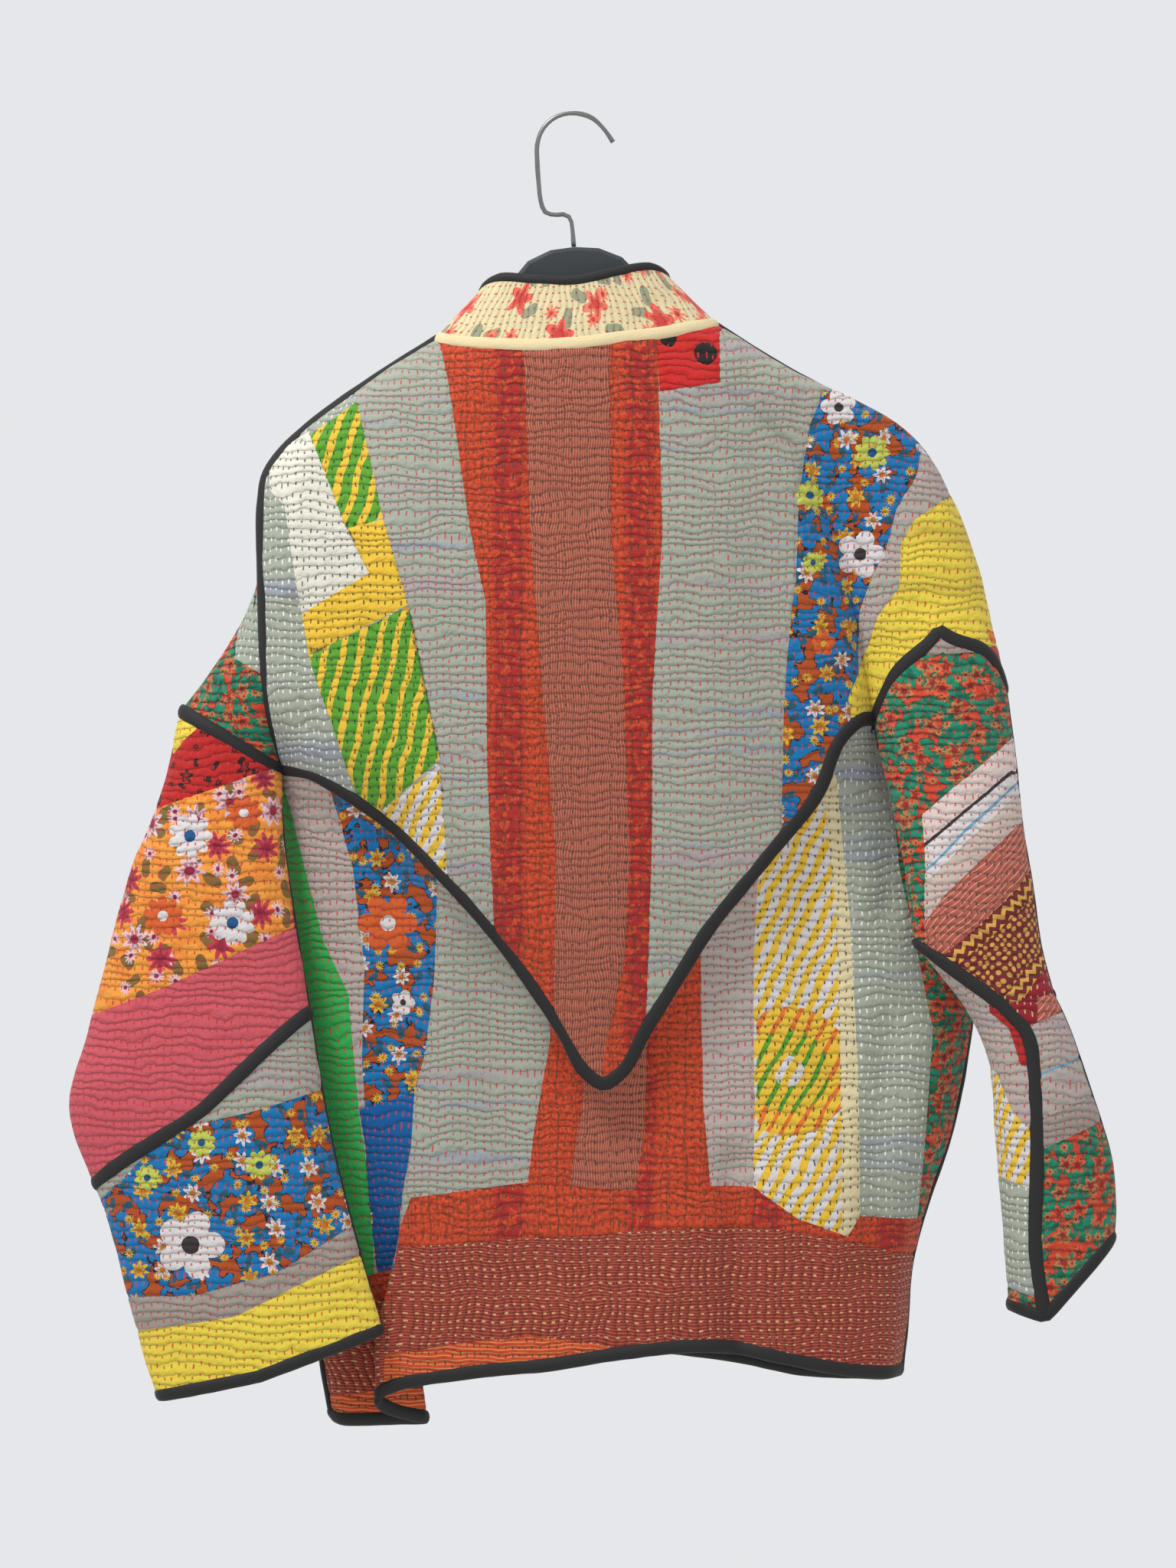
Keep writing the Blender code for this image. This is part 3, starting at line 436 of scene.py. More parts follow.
# %% The collar, with its two rims matched at the sides and the centre back
def matched(curve, places):
    """The curve with the points nearest to the places at even shares of its length."""
    marks = [0, *(nearest(curve, place) for place in places), len(curve) - 1]
    index = np.interp(np.linspace(0, 1, 401), np.linspace(0, 1, len(marks)), marks)
    return np.stack([np.interp(index, np.arange(len(curve)), curve[:, k]) for k in range(3)], axis=1)


collar_low = matched(neck, ((-91, -1), (0, -33), (91, 0)))
collar_high = matched(collar_top, ((-61, 0), (0, -24), (59.5, 0)))


def collar_wall(u, v):
    """The stand collar, which leans in towards its top."""
    f = v[..., None]
    return (1 - f) * along(collar_high, u) + f * along(collar_low, u)


# %% The sleeves' panels
left_upper, left_lower = tube(LEFT_UPPER), tube(LEFT_LOWER)
right_upper = tube(RIGHT_UPPER, 0.5, 1.5)
right_back, right_front = tube(RIGHT_LOWER, 0.25, 0.5), tube(RIGHT_LOWER, 0.5, 1.25)
print("rings of the sleeves:", len(LEFT_UPPER + LEFT_LOWER + RIGHT_UPPER + RIGHT_LOWER))

# %% [markdown]
# ## Dyes and threads as shader sums
# A print is easier to follow as a sum than as a web of wires. A `Wire` stands for one value in a material,
# and writing `1 - mask` or `a * b` adds the node that works it out.

# %% A socket that takes part in sums
class Wire:
    """One value in a material. Sums of wires add the nodes that work them out."""

    def __init__(self, tree, socket=None):
        self.tree, self.socket = tree, socket

    def node(self, kind, settings=None, links=None, out=0):
        """Any node: settings are set first, then sockets get their links or plain values."""
        made = self.tree.nodes.new(kind)
        for name, value in (settings or {}).items():
            setattr(made, name, value)
        for name, value in (links or {}).items():
            if isinstance(value, Wire):
                self.tree.links.new(value.socket, made.inputs[name])
            else:
                made.inputs[name].default_value = value
        return Wire(self.tree, made.outputs[out])

    def maths(self, operation, *others):
        """A Math node of this value and the others, in order."""
        return self.node("ShaderNodeMath", {"operation": operation}, dict(enumerate([self, *others])))

    def __add__(self, other):
        return self.maths("ADD", other)

    def __sub__(self, other):
        return self.maths("SUBTRACT", other)

    def __rsub__(self, other):
        return self.node("ShaderNodeMath", {"operation": "SUBTRACT"}, {0: other, 1: self})

    def __mul__(self, other):
        return self.maths("MULTIPLY", other)

    def __truediv__(self, other):
        return self.maths("DIVIDE", other)

    def __lt__(self, other):
        return self.maths("LESS_THAN", other)

    def __gt__(self, other):
        return self.maths("GREATER_THAN", other)

    def clipped(self, low, high):
        """The value, kept between two limits."""
        return self.maths("MINIMUM", high).maths("MAXIMUM", low)

    def within(self, edge, soft):
        """1 where the value is under the edge, falling to 0 over a soft width."""
        steps = {"From Min": edge - soft / 2, "From Max": edge + soft / 2, "To Min": 1.0, "To Max": 0.0}
        return self.node("ShaderNodeMapRange", {"interpolation_type": "SMOOTHSTEP"}, {"Value": self, **steps})

    def chance(self):
        """A random value from 0 to 1 for each whole number."""
        return self.node("ShaderNodeTexWhiteNoise", {"noise_dimensions": "1D"}, {"W": self})

    def dyed(self, below, above):
        """A colour between two: below where this mask is 0, above where it is 1."""
        return self.node("ShaderNodeMix", {"data_type": "RGBA"}, {0: self, 6: below, 7: above}, 2)

    def vector(self, operation, *others, **named):
        """A Vector Math node of this vector and the others, in order."""
        links = dict(enumerate([self, *others]))
        return self.node("ShaderNodeVectorMath", {"operation": operation}, {**links, **named})

    def stretched(self, x, y, z=1.0):
        """A vector times x, y and z."""
        return self.vector("MULTIPLY", (x, y, z))

    def parts(self):
        """The x and y of a vector."""
        return [self.node("ShaderNodeSeparateXYZ", {}, {"Vector": self}, out) for out in (0, 1)]

    def noise(self, scale, detail=2.0):
        """Smooth noise from 0 to 1 at this place."""
        return self.node("ShaderNodeTexNoise", {}, {"Vector": self, "Scale": scale, "Detail": detail})

    def relief(self):
        """A bump from a height in millimetres."""
        return self.node("ShaderNodeBump", {}, {"Height": self * MM, "Distance": 1.0, "Strength": 1.0})

    def feed(self, shader, name):
        """Links this value to one of the shader's sockets."""
        self.tree.links.new(self.socket, shader.inputs[name])


# %% [markdown]
# ## The flat cloth
# A print belongs to the cloth before it is cut, so every material starts from the place of a point on the
# flat cloth, which each piece carries as a chart in metres. The quilter's hand never keeps a straight line:
# a slow drift of a few millimetres bends prints and stitches alike.

# %% Where a point lies on the flat cloth
HAND_DRIFT = 5.0
DRIFT_SCALE = 0.045


class Cloth:
    """The start of a quilted material: where a point lies on the flat cloth, in millimetres."""

    def __init__(self, name, turned=0.0):
        self.material = bpy.data.materials.new(name)
        self.material.use_nodes = True
        self.shader = self.material.node_tree.nodes["Principled BSDF"]
        chart = Wire(self.material.node_tree).node("ShaderNodeUVMap", {"uv_map": "cloth"})
        self.place = chart.stretched(1 / MM, 1 / MM, 0)
        waver = {"Vector": self.place, "Scale": DRIFT_SCALE, "Detail": 1.0}
        drift = self.place.node("ShaderNodeTexNoise", {"noise_dimensions": "2D"}, waver, 1)
        half = HAND_DRIFT / 2
        shift = drift.vector("MULTIPLY_ADD", (HAND_DRIFT, HAND_DRIFT, 0), (-half, -half, 0))
        self.hand = self.print = self.place.vector("ADD", shift)
        if turned:
            turn = {"Vector": self.hand, "Angle": math.radians(turned)}
            self.print = self.hand.node("ShaderNodeVectorRotate", {"rotation_type": "Z_AXIS"}, turn)
        self.x, self.y = self.print.parts()


# %% [markdown]
# ## The running stitch
# Kantha is quilted by hand with one long running stitch after another. The thread dips in and out, so it
# shows as short dashes. The dashes of neighbouring columns lie side by side, and pull the layers together
# along wavy level lines. Between these lines, about 6 mm apart, the cloth puffs up into soft ridges. Dashes
# and ridges are worked out from the flat place alone, so they need no picture and fit any panel.

# %% Sizes of the stitching in millimetres, and its threads
STITCH_ACROSS, STITCH_DOWN = 4.9, 5.9
DASH_LONG, DASH_WIDE = 2.5, 1.0
DASH_SOFT_END, DASH_SOFT_SIDE = 0.5, 0.35
THREAD_RED = paint(190, 45, 40)
THREAD_WHITE = paint(235, 233, 225)
THREAD_GREEN = paint(40, 62, 45)
THREAD_GOLD = paint(214, 178, 122)
THREAD_BLACK = paint(38, 34, 36)

# %% How unevenly a hand sews: shares of a stitch by which rows wander, columns start late and dashes vary
ROWS_WANDER, RIDGES_WANDER = 3.0, 0.6
LATE_START, ASIDE, SHORTER = 0.3, 0.2, 0.5
COLUMN_SEED = 17.3


def stitching(cloth, across=False):
    """Mask of the thread's dashes, and the height of the puffed cloth between the rows, from 0 to 1."""
    x, y = cloth.hand.parts()
    if across:
        x, y = y, x
    column = (x / STITCH_ACROSS).maths("FLOOR")
    level = y / STITCH_DOWN + cloth.place.stretched(0.6, 1.0).noise(0.03, 2.0) * ROWS_WANDER
    run = level + column.chance() * LATE_START
    row = run.maths("FLOOR")
    knot = (row + column * COLUMN_SEED).chance()
    aside = (x / STITCH_ACROSS - column - 0.5 + (knot - 0.5) * ASIDE).maths("ABSOLUTE") * STITCH_ACROSS
    length = (run - row - 0.5).maths("ABSOLUTE") * STITCH_DOWN + knot * SHORTER
    dash = aside.within(DASH_WIDE / 2, DASH_SOFT_SIDE) * length.within(DASH_LONG / 2, DASH_SOFT_END)
    turn = (level + cloth.place.noise(0.16, 2.0) * RIDGES_WANDER) * math.pi
    return dash, turn.maths("COSINE").maths("ABSOLUTE")


print("stitches:", round(10000 / (STITCH_ACROSS * STITCH_DOWN)), "in a square of 10 cm")

# %% [markdown]
# ## Quilted cloth
# Washed cotton quilt has almost no gloss and a faint nap. The colour is dulled in the valleys, where the
# thread pulls the layers down and light doesn't reach, and the puffed ridges, the dashes, the weave and
# slow lumps of the wadding all add to one height, which the bump reads.

# %% A quilted material from a print and a thread
PUFF, LUMPS, WEAVE, DASH_HIGH = 1.25, 0.9, 0.14, 0.1
# VALLEY sets how dark the painted shade in the valleys gets.
VALLEY, FADED, FIBRES = 0.62, 0.88, 0.26
RIDGE_POWER, DASH_COVER = 0.6, 0.85
QUILT_ROUGHNESS, QUILT_SHEEN, SHEEN_ROUGHNESS, QUILT_GLOSS = 0.88, 0.12, 0.5, 0.25
FABRICS = {}


def shade(colour, factor):
    """A colour made darker or lighter."""
    return (*(min(1.0, c * factor) for c in colour[:3]), 1.0)


def quilted(name, dye, thread=THREAD_RED, turned=0.0, across=False, thick=1.0):
    """A quilt, kept under its name. dye is a colour, or a function that draws the print on a cloth."""
    cloth = Cloth(name + " quilt", turned)
    plain = dye(cloth) if callable(dye) else cloth.print.noise(0.12).dyed(shade(dye, 0.9), shade(dye, 1.1))
    dash, height = stitching(cloth, across)
    puffed = height.maths("POWER", RIDGE_POWER)
    # Painted shade: the colour is darkened, unevenly, towards the valleys between the puffed ridges. The
    # fibres add a real random tone, and FADED dulls the whole cloth evenly.
    deep = 1 - (cloth.place.noise(0.13, 1.0) * 0.75 + 0.2) * (1 - puffed)
    dip = (1 - VALLEY) * thick
    fibres_and_valley_shade = ((cloth.place.noise(1.1, 3.0) - 0.5) * FIBRES + deep * dip + (1 - dip)) * FADED
    colour = plain.vector("SCALE", Scale=fibres_and_valley_shade)
    if thread:
        colour = (dash * DASH_COVER).dyed(colour, thread)
    weave = cloth.place.noise(2.3, 2.0) * WEAVE
    lumps = cloth.place.noise(0.3, 2.0) * (LUMPS * thick)
    lift = puffed * (PUFF * thick) + dash * (DASH_HIGH if thread else -DASH_HIGH) + weave + lumps
    colour.feed(cloth.shader, "Base Color")
    lift.relief().feed(cloth.shader, "Normal")
    cloth.shader.inputs["Roughness"].default_value = QUILT_ROUGHNESS
    cloth.shader.inputs["Sheen Weight"].default_value = QUILT_SHEEN
    cloth.shader.inputs["Sheen Roughness"].default_value = SHEEN_ROUGHNESS
    cloth.shader.inputs["Specular IOR Level"].default_value = QUILT_GLOSS
    FABRICS[name] = cloth.material


# %% [markdown]
# ## Prints
# All of them are common ones: weft bands in handloom cloth, fine lines, bias stripes, dots, zigzags, small
# brocade figures in columns, and sprigs of round flowers with leaves. Each is a function that draws on the
# flat cloth, so one function with other dyes and sizes gives another bolt of cloth.

# %% Woven bands, from noise stretched along the weft
def weft_bands(*dyes):
    """Handloom cloth: mostly one dye, with narrow level bands of near shades."""
    def draw(cloth):
        band = cloth.print.stretched(0.04, 1.0).noise(0.05, 3.0)
        drawn = (band * 6 - 3.2).clipped(0.0, 1.0).dyed(dyes[0], dyes[1])
        if len(dyes) > 2:
            fine = cloth.print.stretched(0.05, 1.0).noise(0.11, 2.0)
            drawn = (fine * 8 - 4.9).clipped(0.0, 0.8).dyed(drawn, dyes[2])
        return drawn
    return draw


# %% Lines and stripes, from a value that starts again at each repeat
def cycle(value, pitch):
    """Where a value lies in its repeat, from 0 to 1."""
    return (value / pitch).maths("FRACT")


def stripes(first, second, pitch, share):
    """Stripes along the cloth. The second dye takes a share of each repeat."""
    return lambda cloth: (cycle(cloth.x, pitch) < share).dyed(first, second)


def lined(ground, line, pitch, share, level=False):
    """Fine lines that run down the cloth, or level across it."""
    def draw(cloth):
        at = cycle(cloth.y if level else cloth.x, pitch)
        soft = cloth.print.noise(0.2)
        return (at < share).dyed(soft.dyed(shade(ground, 0.85), shade(ground, 1.12)), line)
    return draw


def zigzag(ground, line, pitch, share):
    """Level zigzag lines."""
    def draw(cloth):
        slant = cloth.x.maths("PINGPONG", pitch * 0.5)
        return (cycle(cloth.y + slant, pitch) < share).dyed(ground, line)
    return draw


# %% A brocade in broad columns
COLUMN_APART, COLUMN_HALF, COLUMN_SOFT = 86.0, 10.0, 7.0
WARP_APART, WARP_HALF = 6.0, 0.35


def columns_of_figures(ground, dark, light):
    """A brocade: knotty loops over fine level threads, with broad dark columns far apart."""
    def draw(cloth):
        side = (cloth.x + 1.0).maths("PINGPONG", COLUMN_APART / 2)
        column = (COLUMN_APART / 2 - side).within(COLUMN_HALF, COLUMN_SOFT)
        loops = (cloth.print.noise(0.42, 3.0) * 3.4 - 1.2).clipped(0.0, 1.0)
        base = loops.dyed(shade(ground, 0.62), shade(ground, 1.2))
        figures = cloth.print.noise(0.16, 2.0) > 0.46
        base = (column * figures * 0.8).dyed(base, dark)
        warp = cloth.x.maths("PINGPONG", WARP_APART) < WARP_HALF
        return (warp * 0.55).dyed(base, light)
    return draw


# %% Dots, and flowers round the points of a loose grid
def dotted(ground, dot, pitch, size):
    """Round dots in a loose grid."""
    def draw(cloth):
        spots = {"Vector": cloth.print, "Scale": 1 / pitch, "Randomness": 0.35}
        away = cloth.print.node("ShaderNodeTexVoronoi", {"voronoi_dimensions": "2D"}, spots)
        return (away * pitch).within(size, 0.6).dyed(ground, dot)
    return draw


def sprigs(cloth, pitch, size, petals, loose=0.8, offset=0.0):
    """One layer of flowers: masks of the petals and of the heart, and a random value of each flower."""
    moved = cloth.print.vector("ADD", (offset, offset * 0.7, 0))
    spots = {"Vector": moved, "Scale": 1 / pitch, "Randomness": loose}
    chance, middle = (
        moved.node("ShaderNodeTexVoronoi", {"voronoi_dimensions": "2D"}, spots, out) for out in (1, 2)
    )
    x, y = moved.vector("SUBTRACT", middle).parts()
    away = (x * x + y * y).maths("SQRT")
    luck = chance.parts()[0]
    lobes = y.maths("ARCTAN2", x) * petals + luck * 6.0
    edge = away / (lobes.maths("COSINE") * 0.24 + 0.76)
    return edge.within(size, 0.7), away.within(size * 0.3, 0.5), luck


# %% A flower print: two grounds, leaves, small flowers, then large ones
LEAF_PITCH, LEAF_SIZE, LEAF_SHIFT = 0.62, 0.62, 31.0
SMALL_PITCH, SMALL_SIZE, SMALL_SHIFT = 0.7, 0.5, 57.0
GROUND_SPLIT, OUTLINE_HALF = 0.53, 0.012


def flowers(grounds, blooms, heart, leaf, pitch, size, petals, outline=None):
    """A print of round flowers and leaves over patches of one or two grounds, with dark outlines."""
    def draw(cloth):
        base = cloth.print.noise(0.07).dyed(shade(grounds[0], 0.85), shade(grounds[0], 1.14))
        if len(grounds) > 1:
            blot = cloth.print.noise(0.075, 2.5)
            base = (blot > GROUND_SPLIT).dyed(base, grounds[1])
            if outline:
                rim = (blot - GROUND_SPLIT).maths("ABSOLUTE")
                base = (rim < OUTLINE_HALF).dyed(base, outline)
        leaves, _, _ = sprigs(cloth, pitch * LEAF_PITCH, size * LEAF_SIZE, 2, 1.0, LEAF_SHIFT)
        small, dot, _ = sprigs(cloth, pitch * SMALL_PITCH, size * SMALL_SIZE, petals + 3, 0.9, SMALL_SHIFT)
        bloom, middle, luck = sprigs(cloth, pitch, size, petals)
        inner, _, _ = sprigs(cloth, pitch, size * 0.62, petals)
        base = dot.dyed(small.dyed(leaves.dyed(base, leaf), blooms[-1]), heart)
        base = bloom.dyed(base, (luck > 0.5).dyed(blooms[0], blooms[1]))
        base = (inner * 0.6).dyed(base, shade(heart, 0.8))
        return middle.dyed(base, heart)
    return draw


# %% [markdown]
# ## The bolts of cloth
# The jacket uses some forty quilts. Each is one entry: its name, its print or its one dye, its thread, and
# the turn of the print where the maker cut it on the bias. Red thread is the rule.

# %% Dyes that serve more than once
SAGE, LILAC, BLUE_GREY = paint(166, 172, 156), paint(172, 162, 160), paint(152, 160, 170)
PINK_GREY = paint(184, 172, 164)
ORANGE_RED, CRIMSON = paint(206, 74, 42), paint(165, 35, 40)
WARM_YELLOW, STRIPE_GREEN = paint(238, 194, 60), paint(92, 160, 48)
FLOWER_WHITE, CREAM, SOFT_BLACK = paint(222, 216, 214), paint(225, 210, 165), paint(40, 34, 34)

# %% Handloom cloths
quilted("sage", weft_bands(SAGE, LILAC, BLUE_GREY))
quilted("slate", weft_bands(SAGE, BLUE_GREY), THREAD_WHITE)
quilted("pink grey", weft_bands(PINK_GREY, SAGE, LILAC))
quilted("taupe", weft_bands(paint(160, 150, 140), paint(176, 164, 156)))
quilted("lemon", weft_bands(paint(236, 212, 72), paint(214, 190, 70)))
quilted("beige", weft_bands(paint(206, 190, 178), paint(190, 172, 160)))

# %% Cloths of one dye
for name, dye, thread in (
    ("ivory", paint(226, 222, 206), THREAD_BLACK),
    ("cream", CREAM, THREAD_BLACK),
    ("warm yellow", WARM_YELLOW, THREAD_BLACK),
    ("orange", paint(232, 130, 50), THREAD_RED),
    ("red", paint(186, 40, 38), THREAD_GREEN),
    ("bright red", paint(206, 40, 36), THREAD_RED),
    ("crimson", paint(150, 30, 42), THREAD_GOLD),
    ("kelly", paint(56, 176, 84), THREAD_RED),
    ("deep blue", paint(12, 92, 156), THREAD_RED),
    ("rose", paint(205, 88, 98), THREAD_RED),
    ("pale pink", paint(225, 205, 197), THREAD_RED),
    ("white", paint(222, 216, 212), THREAD_RED),
    ("sky line", paint(120, 170, 200), None),
    ("dark line", paint(60, 50, 52), None),
    ("black dot", SOFT_BLACK, THREAD_RED),
    ("petal white", FLOWER_WHITE, THREAD_RED),
    ("petal lime", paint(196, 205, 88), THREAD_RED),
    ("petal rust", paint(214, 96, 44), THREAD_RED),
    ("heart gold", paint(222, 170, 50), None),
    ("heart blue", paint(30, 84, 130), None),
):
    quilted(name, dye, thread)

# %% Stripes, lines and small figures
quilted("brocade", columns_of_figures(ORANGE_RED, CRIMSON, paint(70, 60, 40)), THREAD_GREEN)
quilted("brick", lined(paint(158, 78, 60), paint(196, 122, 98), 1.6, 0.34), THREAD_GREEN)
quilted("hem brick", lined(paint(142, 52, 40), paint(184, 96, 76), 1.9, 0.3, True), THREAD_GOLD, across=True)
quilted("hem border", lined(ORANGE_RED, paint(225, 140, 80), 2.4, 0.3, True), THREAD_GREEN)
quilted("rose brick", lined(paint(186, 92, 84), THREAD_GOLD, 3.4, 0.16, True), THREAD_GREEN, 42)
quilted("bias stripe", stripes(WARM_YELLOW, STRIPE_GREEN, 11.5, 0.6), THREAD_BLACK, -16)
quilted("green stripe", stripes(WARM_YELLOW, STRIPE_GREEN, 11.0, 0.62), THREAD_BLACK, -13)
quilted("milk stripe", stripes(FLOWER_WHITE, WARM_YELLOW, 9.5, 0.5), THREAD_BLACK, -28)
quilted("orange ring", stripes(paint(232, 120, 50), WARM_YELLOW, 9.5, 0.68), THREAD_BLACK, -28)
quilted("green ring", stripes(STRIPE_GREEN, WARM_YELLOW, 9.5, 0.66), THREAD_BLACK, -28)
quilted("zigzag", zigzag(paint(120, 42, 40), paint(220, 170, 80), 7, 0.45), None, 40)
quilted("honeycomb", dotted(paint(120, 40, 42), paint(215, 165, 80), 4.6, 1.5), None, 42)
quilted("cream dotted", dotted(CREAM, SOFT_BLACK, 9, 1.7))

# %% Flower prints: grounds, petals, heart, leaf, then pitch, size and petals
quilted("blue floral", flowers(
    (paint(20, 118, 178), paint(176, 80, 30)), (FLOWER_WHITE, paint(222, 180, 60)),
    paint(190, 120, 40), paint(40, 90, 110), 25, 6.5, 7, paint(40, 34, 40),
))
quilted("emerald floral", flowers(
    (paint(32, 138, 104), paint(214, 74, 48)), (paint(228, 96, 56), paint(196, 130, 80)),
    paint(150, 40, 40), paint(30, 110, 84), 17, 6, 5, paint(110, 60, 40),
), thick=1.7)
quilted("marigold", flowers(
    (paint(240, 156, 62), paint(236, 140, 56)), (paint(196, 60, 80), paint(226, 190, 196)),
    paint(150, 36, 60), paint(130, 100, 50), 30, 10, 8,
))
quilted("red floral", flowers(
    (paint(188, 36, 34),), (paint(50, 22, 26), paint(70, 24, 28)),
    paint(150, 40, 40), paint(60, 26, 28), 26, 5.0, 5,
))
quilted("coral sprig", flowers(
    (CREAM,), (paint(235, 105, 88), paint(240, 130, 104)),
    paint(206, 70, 64), paint(150, 158, 128), 40, 12, 5,
), across=True, thick=0.5)
print("quilts:", len(FABRICS))

# %% [markdown]
# ## Strips, plastic and steel
# The seams are covered with fine black cotton cut on the bias, which takes small folds along its length. The
# hanger is moulded plastic with a soft sheen, and its hook is drawn steel wire, dulled by handling.

# %% Plain strips of fine cloth
FIBRE_HIGH, FOLD_HIGH = 0.1, 0.7
STRIP_SHEEN = 0.04


def strip(name, colour, rough):
    """A plain strip of fine cloth, a little uneven."""
    cloth = Cloth(name)
    fibre = cloth.place.noise(1.4, 3.0)
    folds = cloth.place.stretched(0.25, 1.0).noise(0.22, 2.0)
    fibre.dyed(shade(colour, 0.7), shade(colour, 1.35)).feed(cloth.shader, "Base Color")
    (fibre * FIBRE_HIGH + folds * FOLD_HIGH).relief().feed(cloth.shader, "Normal")
    cloth.shader.inputs["Roughness"].default_value = rough
    cloth.shader.inputs["Sheen Weight"].default_value = STRIP_SHEEN
    return cloth.material


BLACK_STRIP = strip("black bias strip", paint(20, 17, 18), 0.75)
CREAM_STRIP = strip("cream band", paint(212, 194, 150), 0.85)

# %% The hanger's two materials
SCUFF_SCALE, SCUFF = 220.0, 0.16


def smooth_part(name, colour, rough, metal):
    """A material for the hanger, with fine scuffs in its finish."""
    material = bpy.data.materials.new(name)
    material.use_nodes = True
    shader = material.node_tree.nodes["Principled BSDF"]
    grain = Wire(material.node_tree).node("ShaderNodeTexCoord", out=3).noise(SCUFF_SCALE, 3.0)
    (grain * SCUFF + (rough - SCUFF / 2)).feed(shader, "Roughness")
    grain.dyed(shade(colour, 0.85), shade(colour, 1.1)).feed(shader, "Base Color")
    shader.inputs["Metallic"].default_value = metal
    return material


PLASTIC = smooth_part("dark plastic", paint(46, 51, 54), 0.42, 0.0)
STEEL = smooth_part("dull steel", paint(128, 128, 126), 0.38, 1.0)


# %% [markdown]
# ## The patches
# The tables below are the drawing: each row is a cloth, how its border closes, and the border's points.
# A border that is "right" takes all to its right, one that is "below" takes all beneath it, a "corner" takes
# what lies beneath it and to its right, and an "area" is closed. Rows are laid down in order, the way that
# one patch overlaps the next.

# %% Flowers and rounds that stand alone
PETAL_IN, HEART = 0.62, 0.27


def bloom(x, y, radius, petals, outer, heart, turn=0.0):
    """A round flower on the drawing: its petals and its heart."""
    around = np.linspace(0, 2 * math.pi, petals * 10, endpoint=False)
    reach = radius * (PETAL_IN + (1 - PETAL_IN) * np.abs(np.cos((around + turn) * petals / 2)) ** 0.7)
    rim = [(x + r * math.cos(a), y + r * math.sin(a)) for a, r in zip(around, reach)]
    core = [(x + radius * HEART * math.cos(a), y + radius * HEART * math.sin(a)) for a in around[::petals]]
    return [(outer, "area", rim), (heart, "area", core)]


def disc(x, y, radius, cloth, cut_at=0):
    """A round area on the drawing, cut off at the left by a seam."""
    around = np.linspace(0, 2 * math.pi, 28, endpoint=False)
    rim = [(max(cut_at, x + radius * math.cos(a)), y + radius * math.sin(a)) for a in around]
    return [(cloth, "area", rim)]


# %% Back yoke
BACK_YOKE_PATCHES = [
    ("ivory", "area", (
        (350, 590), (404, 560), (455, 693), (470, 720), (484, 749), (395, 803), (384, 740), (372, 660),
        (352, 640),
    )),
    ("bias stripe", "area", ((404, 567), (465, 522), (501, 677), (455, 693))),
    ("warm yellow", "area", ((455, 691), (503, 679), (535, 790), (404, 857), (395, 803), (484, 749))),
    ("green stripe", "area", ((535, 793), (576, 991), (497, 1059), (465, 1036), (404, 857))),
    ("milk stripe", "area", ((497, 1059), (575, 1000), (590, 1150))),
    ("sage", "right", ((450, 470), (465, 522), (501, 677), (535, 790), (576, 991), (585, 1143))),
    ("brocade", "right", ((570, 430), (586, 500), (614, 691), (635, 787), (637, 1000), (646, 1221))),
    ("brick", "right", ((683, 430), (693, 697), (708, 900), (717, 1000), (726, 1114), (722, 1400))),
    ("brocade", "right", (
        (796, 446), (798, 698), (815, 900), (822, 1132), (815, 1257), (790, 1368), (785, 1420),
    )),
    ("sage", "right", ((858, 439), (865, 698), (852, 900), (851, 1114), (844, 1311), (840, 1400))),
    ("bright red", "area", ((858, 430), (940, 410), (941, 498), (862, 512))),
    *disc(873, 441, 11, "black dot"),
    *disc(922, 460, 15, "black dot"),
    ("blue floral", "right", (
        (1090, 480), (1083, 493), (1059, 554), (1044, 648), (1040, 760), (1034, 799), (1024, 921),
        (1020, 1100),
    )),
    ("pink grey", "right", (
        (1215, 550), (1209, 562), (1200, 618), (1172, 664), (1161, 712), (1139, 758), (1126, 794),
        (1123, 855), (1121, 930),
    )),
    ("lemon", "corner", (
        (1108, 912), (1122, 880), (1136, 842), (1149, 804), (1177, 766), (1179, 707), (1197, 677),
        (1270, 628), (1300, 608),
    )),
    ("orange", "area", ((1292, 819), (1330, 815), (1330, 845), (1296, 838))),
    ("red", "area", ((1294, 845), (1330, 832), (1330, 890), (1318, 880))),
    *bloom(1126, 722, 32, 5, "petal white", "dark line"),
    *bloom(1097, 530, 24, 5, "petal white", "dark line", 0.5),
    *bloom(1213, 578, 15, 5, "petal white", "dark line", 0.9),
    *bloom(1141, 589, 24, 9, "petal lime", "heart blue"),
    *bloom(1059, 645, 20, 9, "petal lime", "heart blue", 0.3),
    *bloom(1063, 734, 15, 9, "petal lime", "heart blue", 0.6),
    *bloom(1076, 840, 17, 5, "petal rust", "heart gold", 0.2),
]

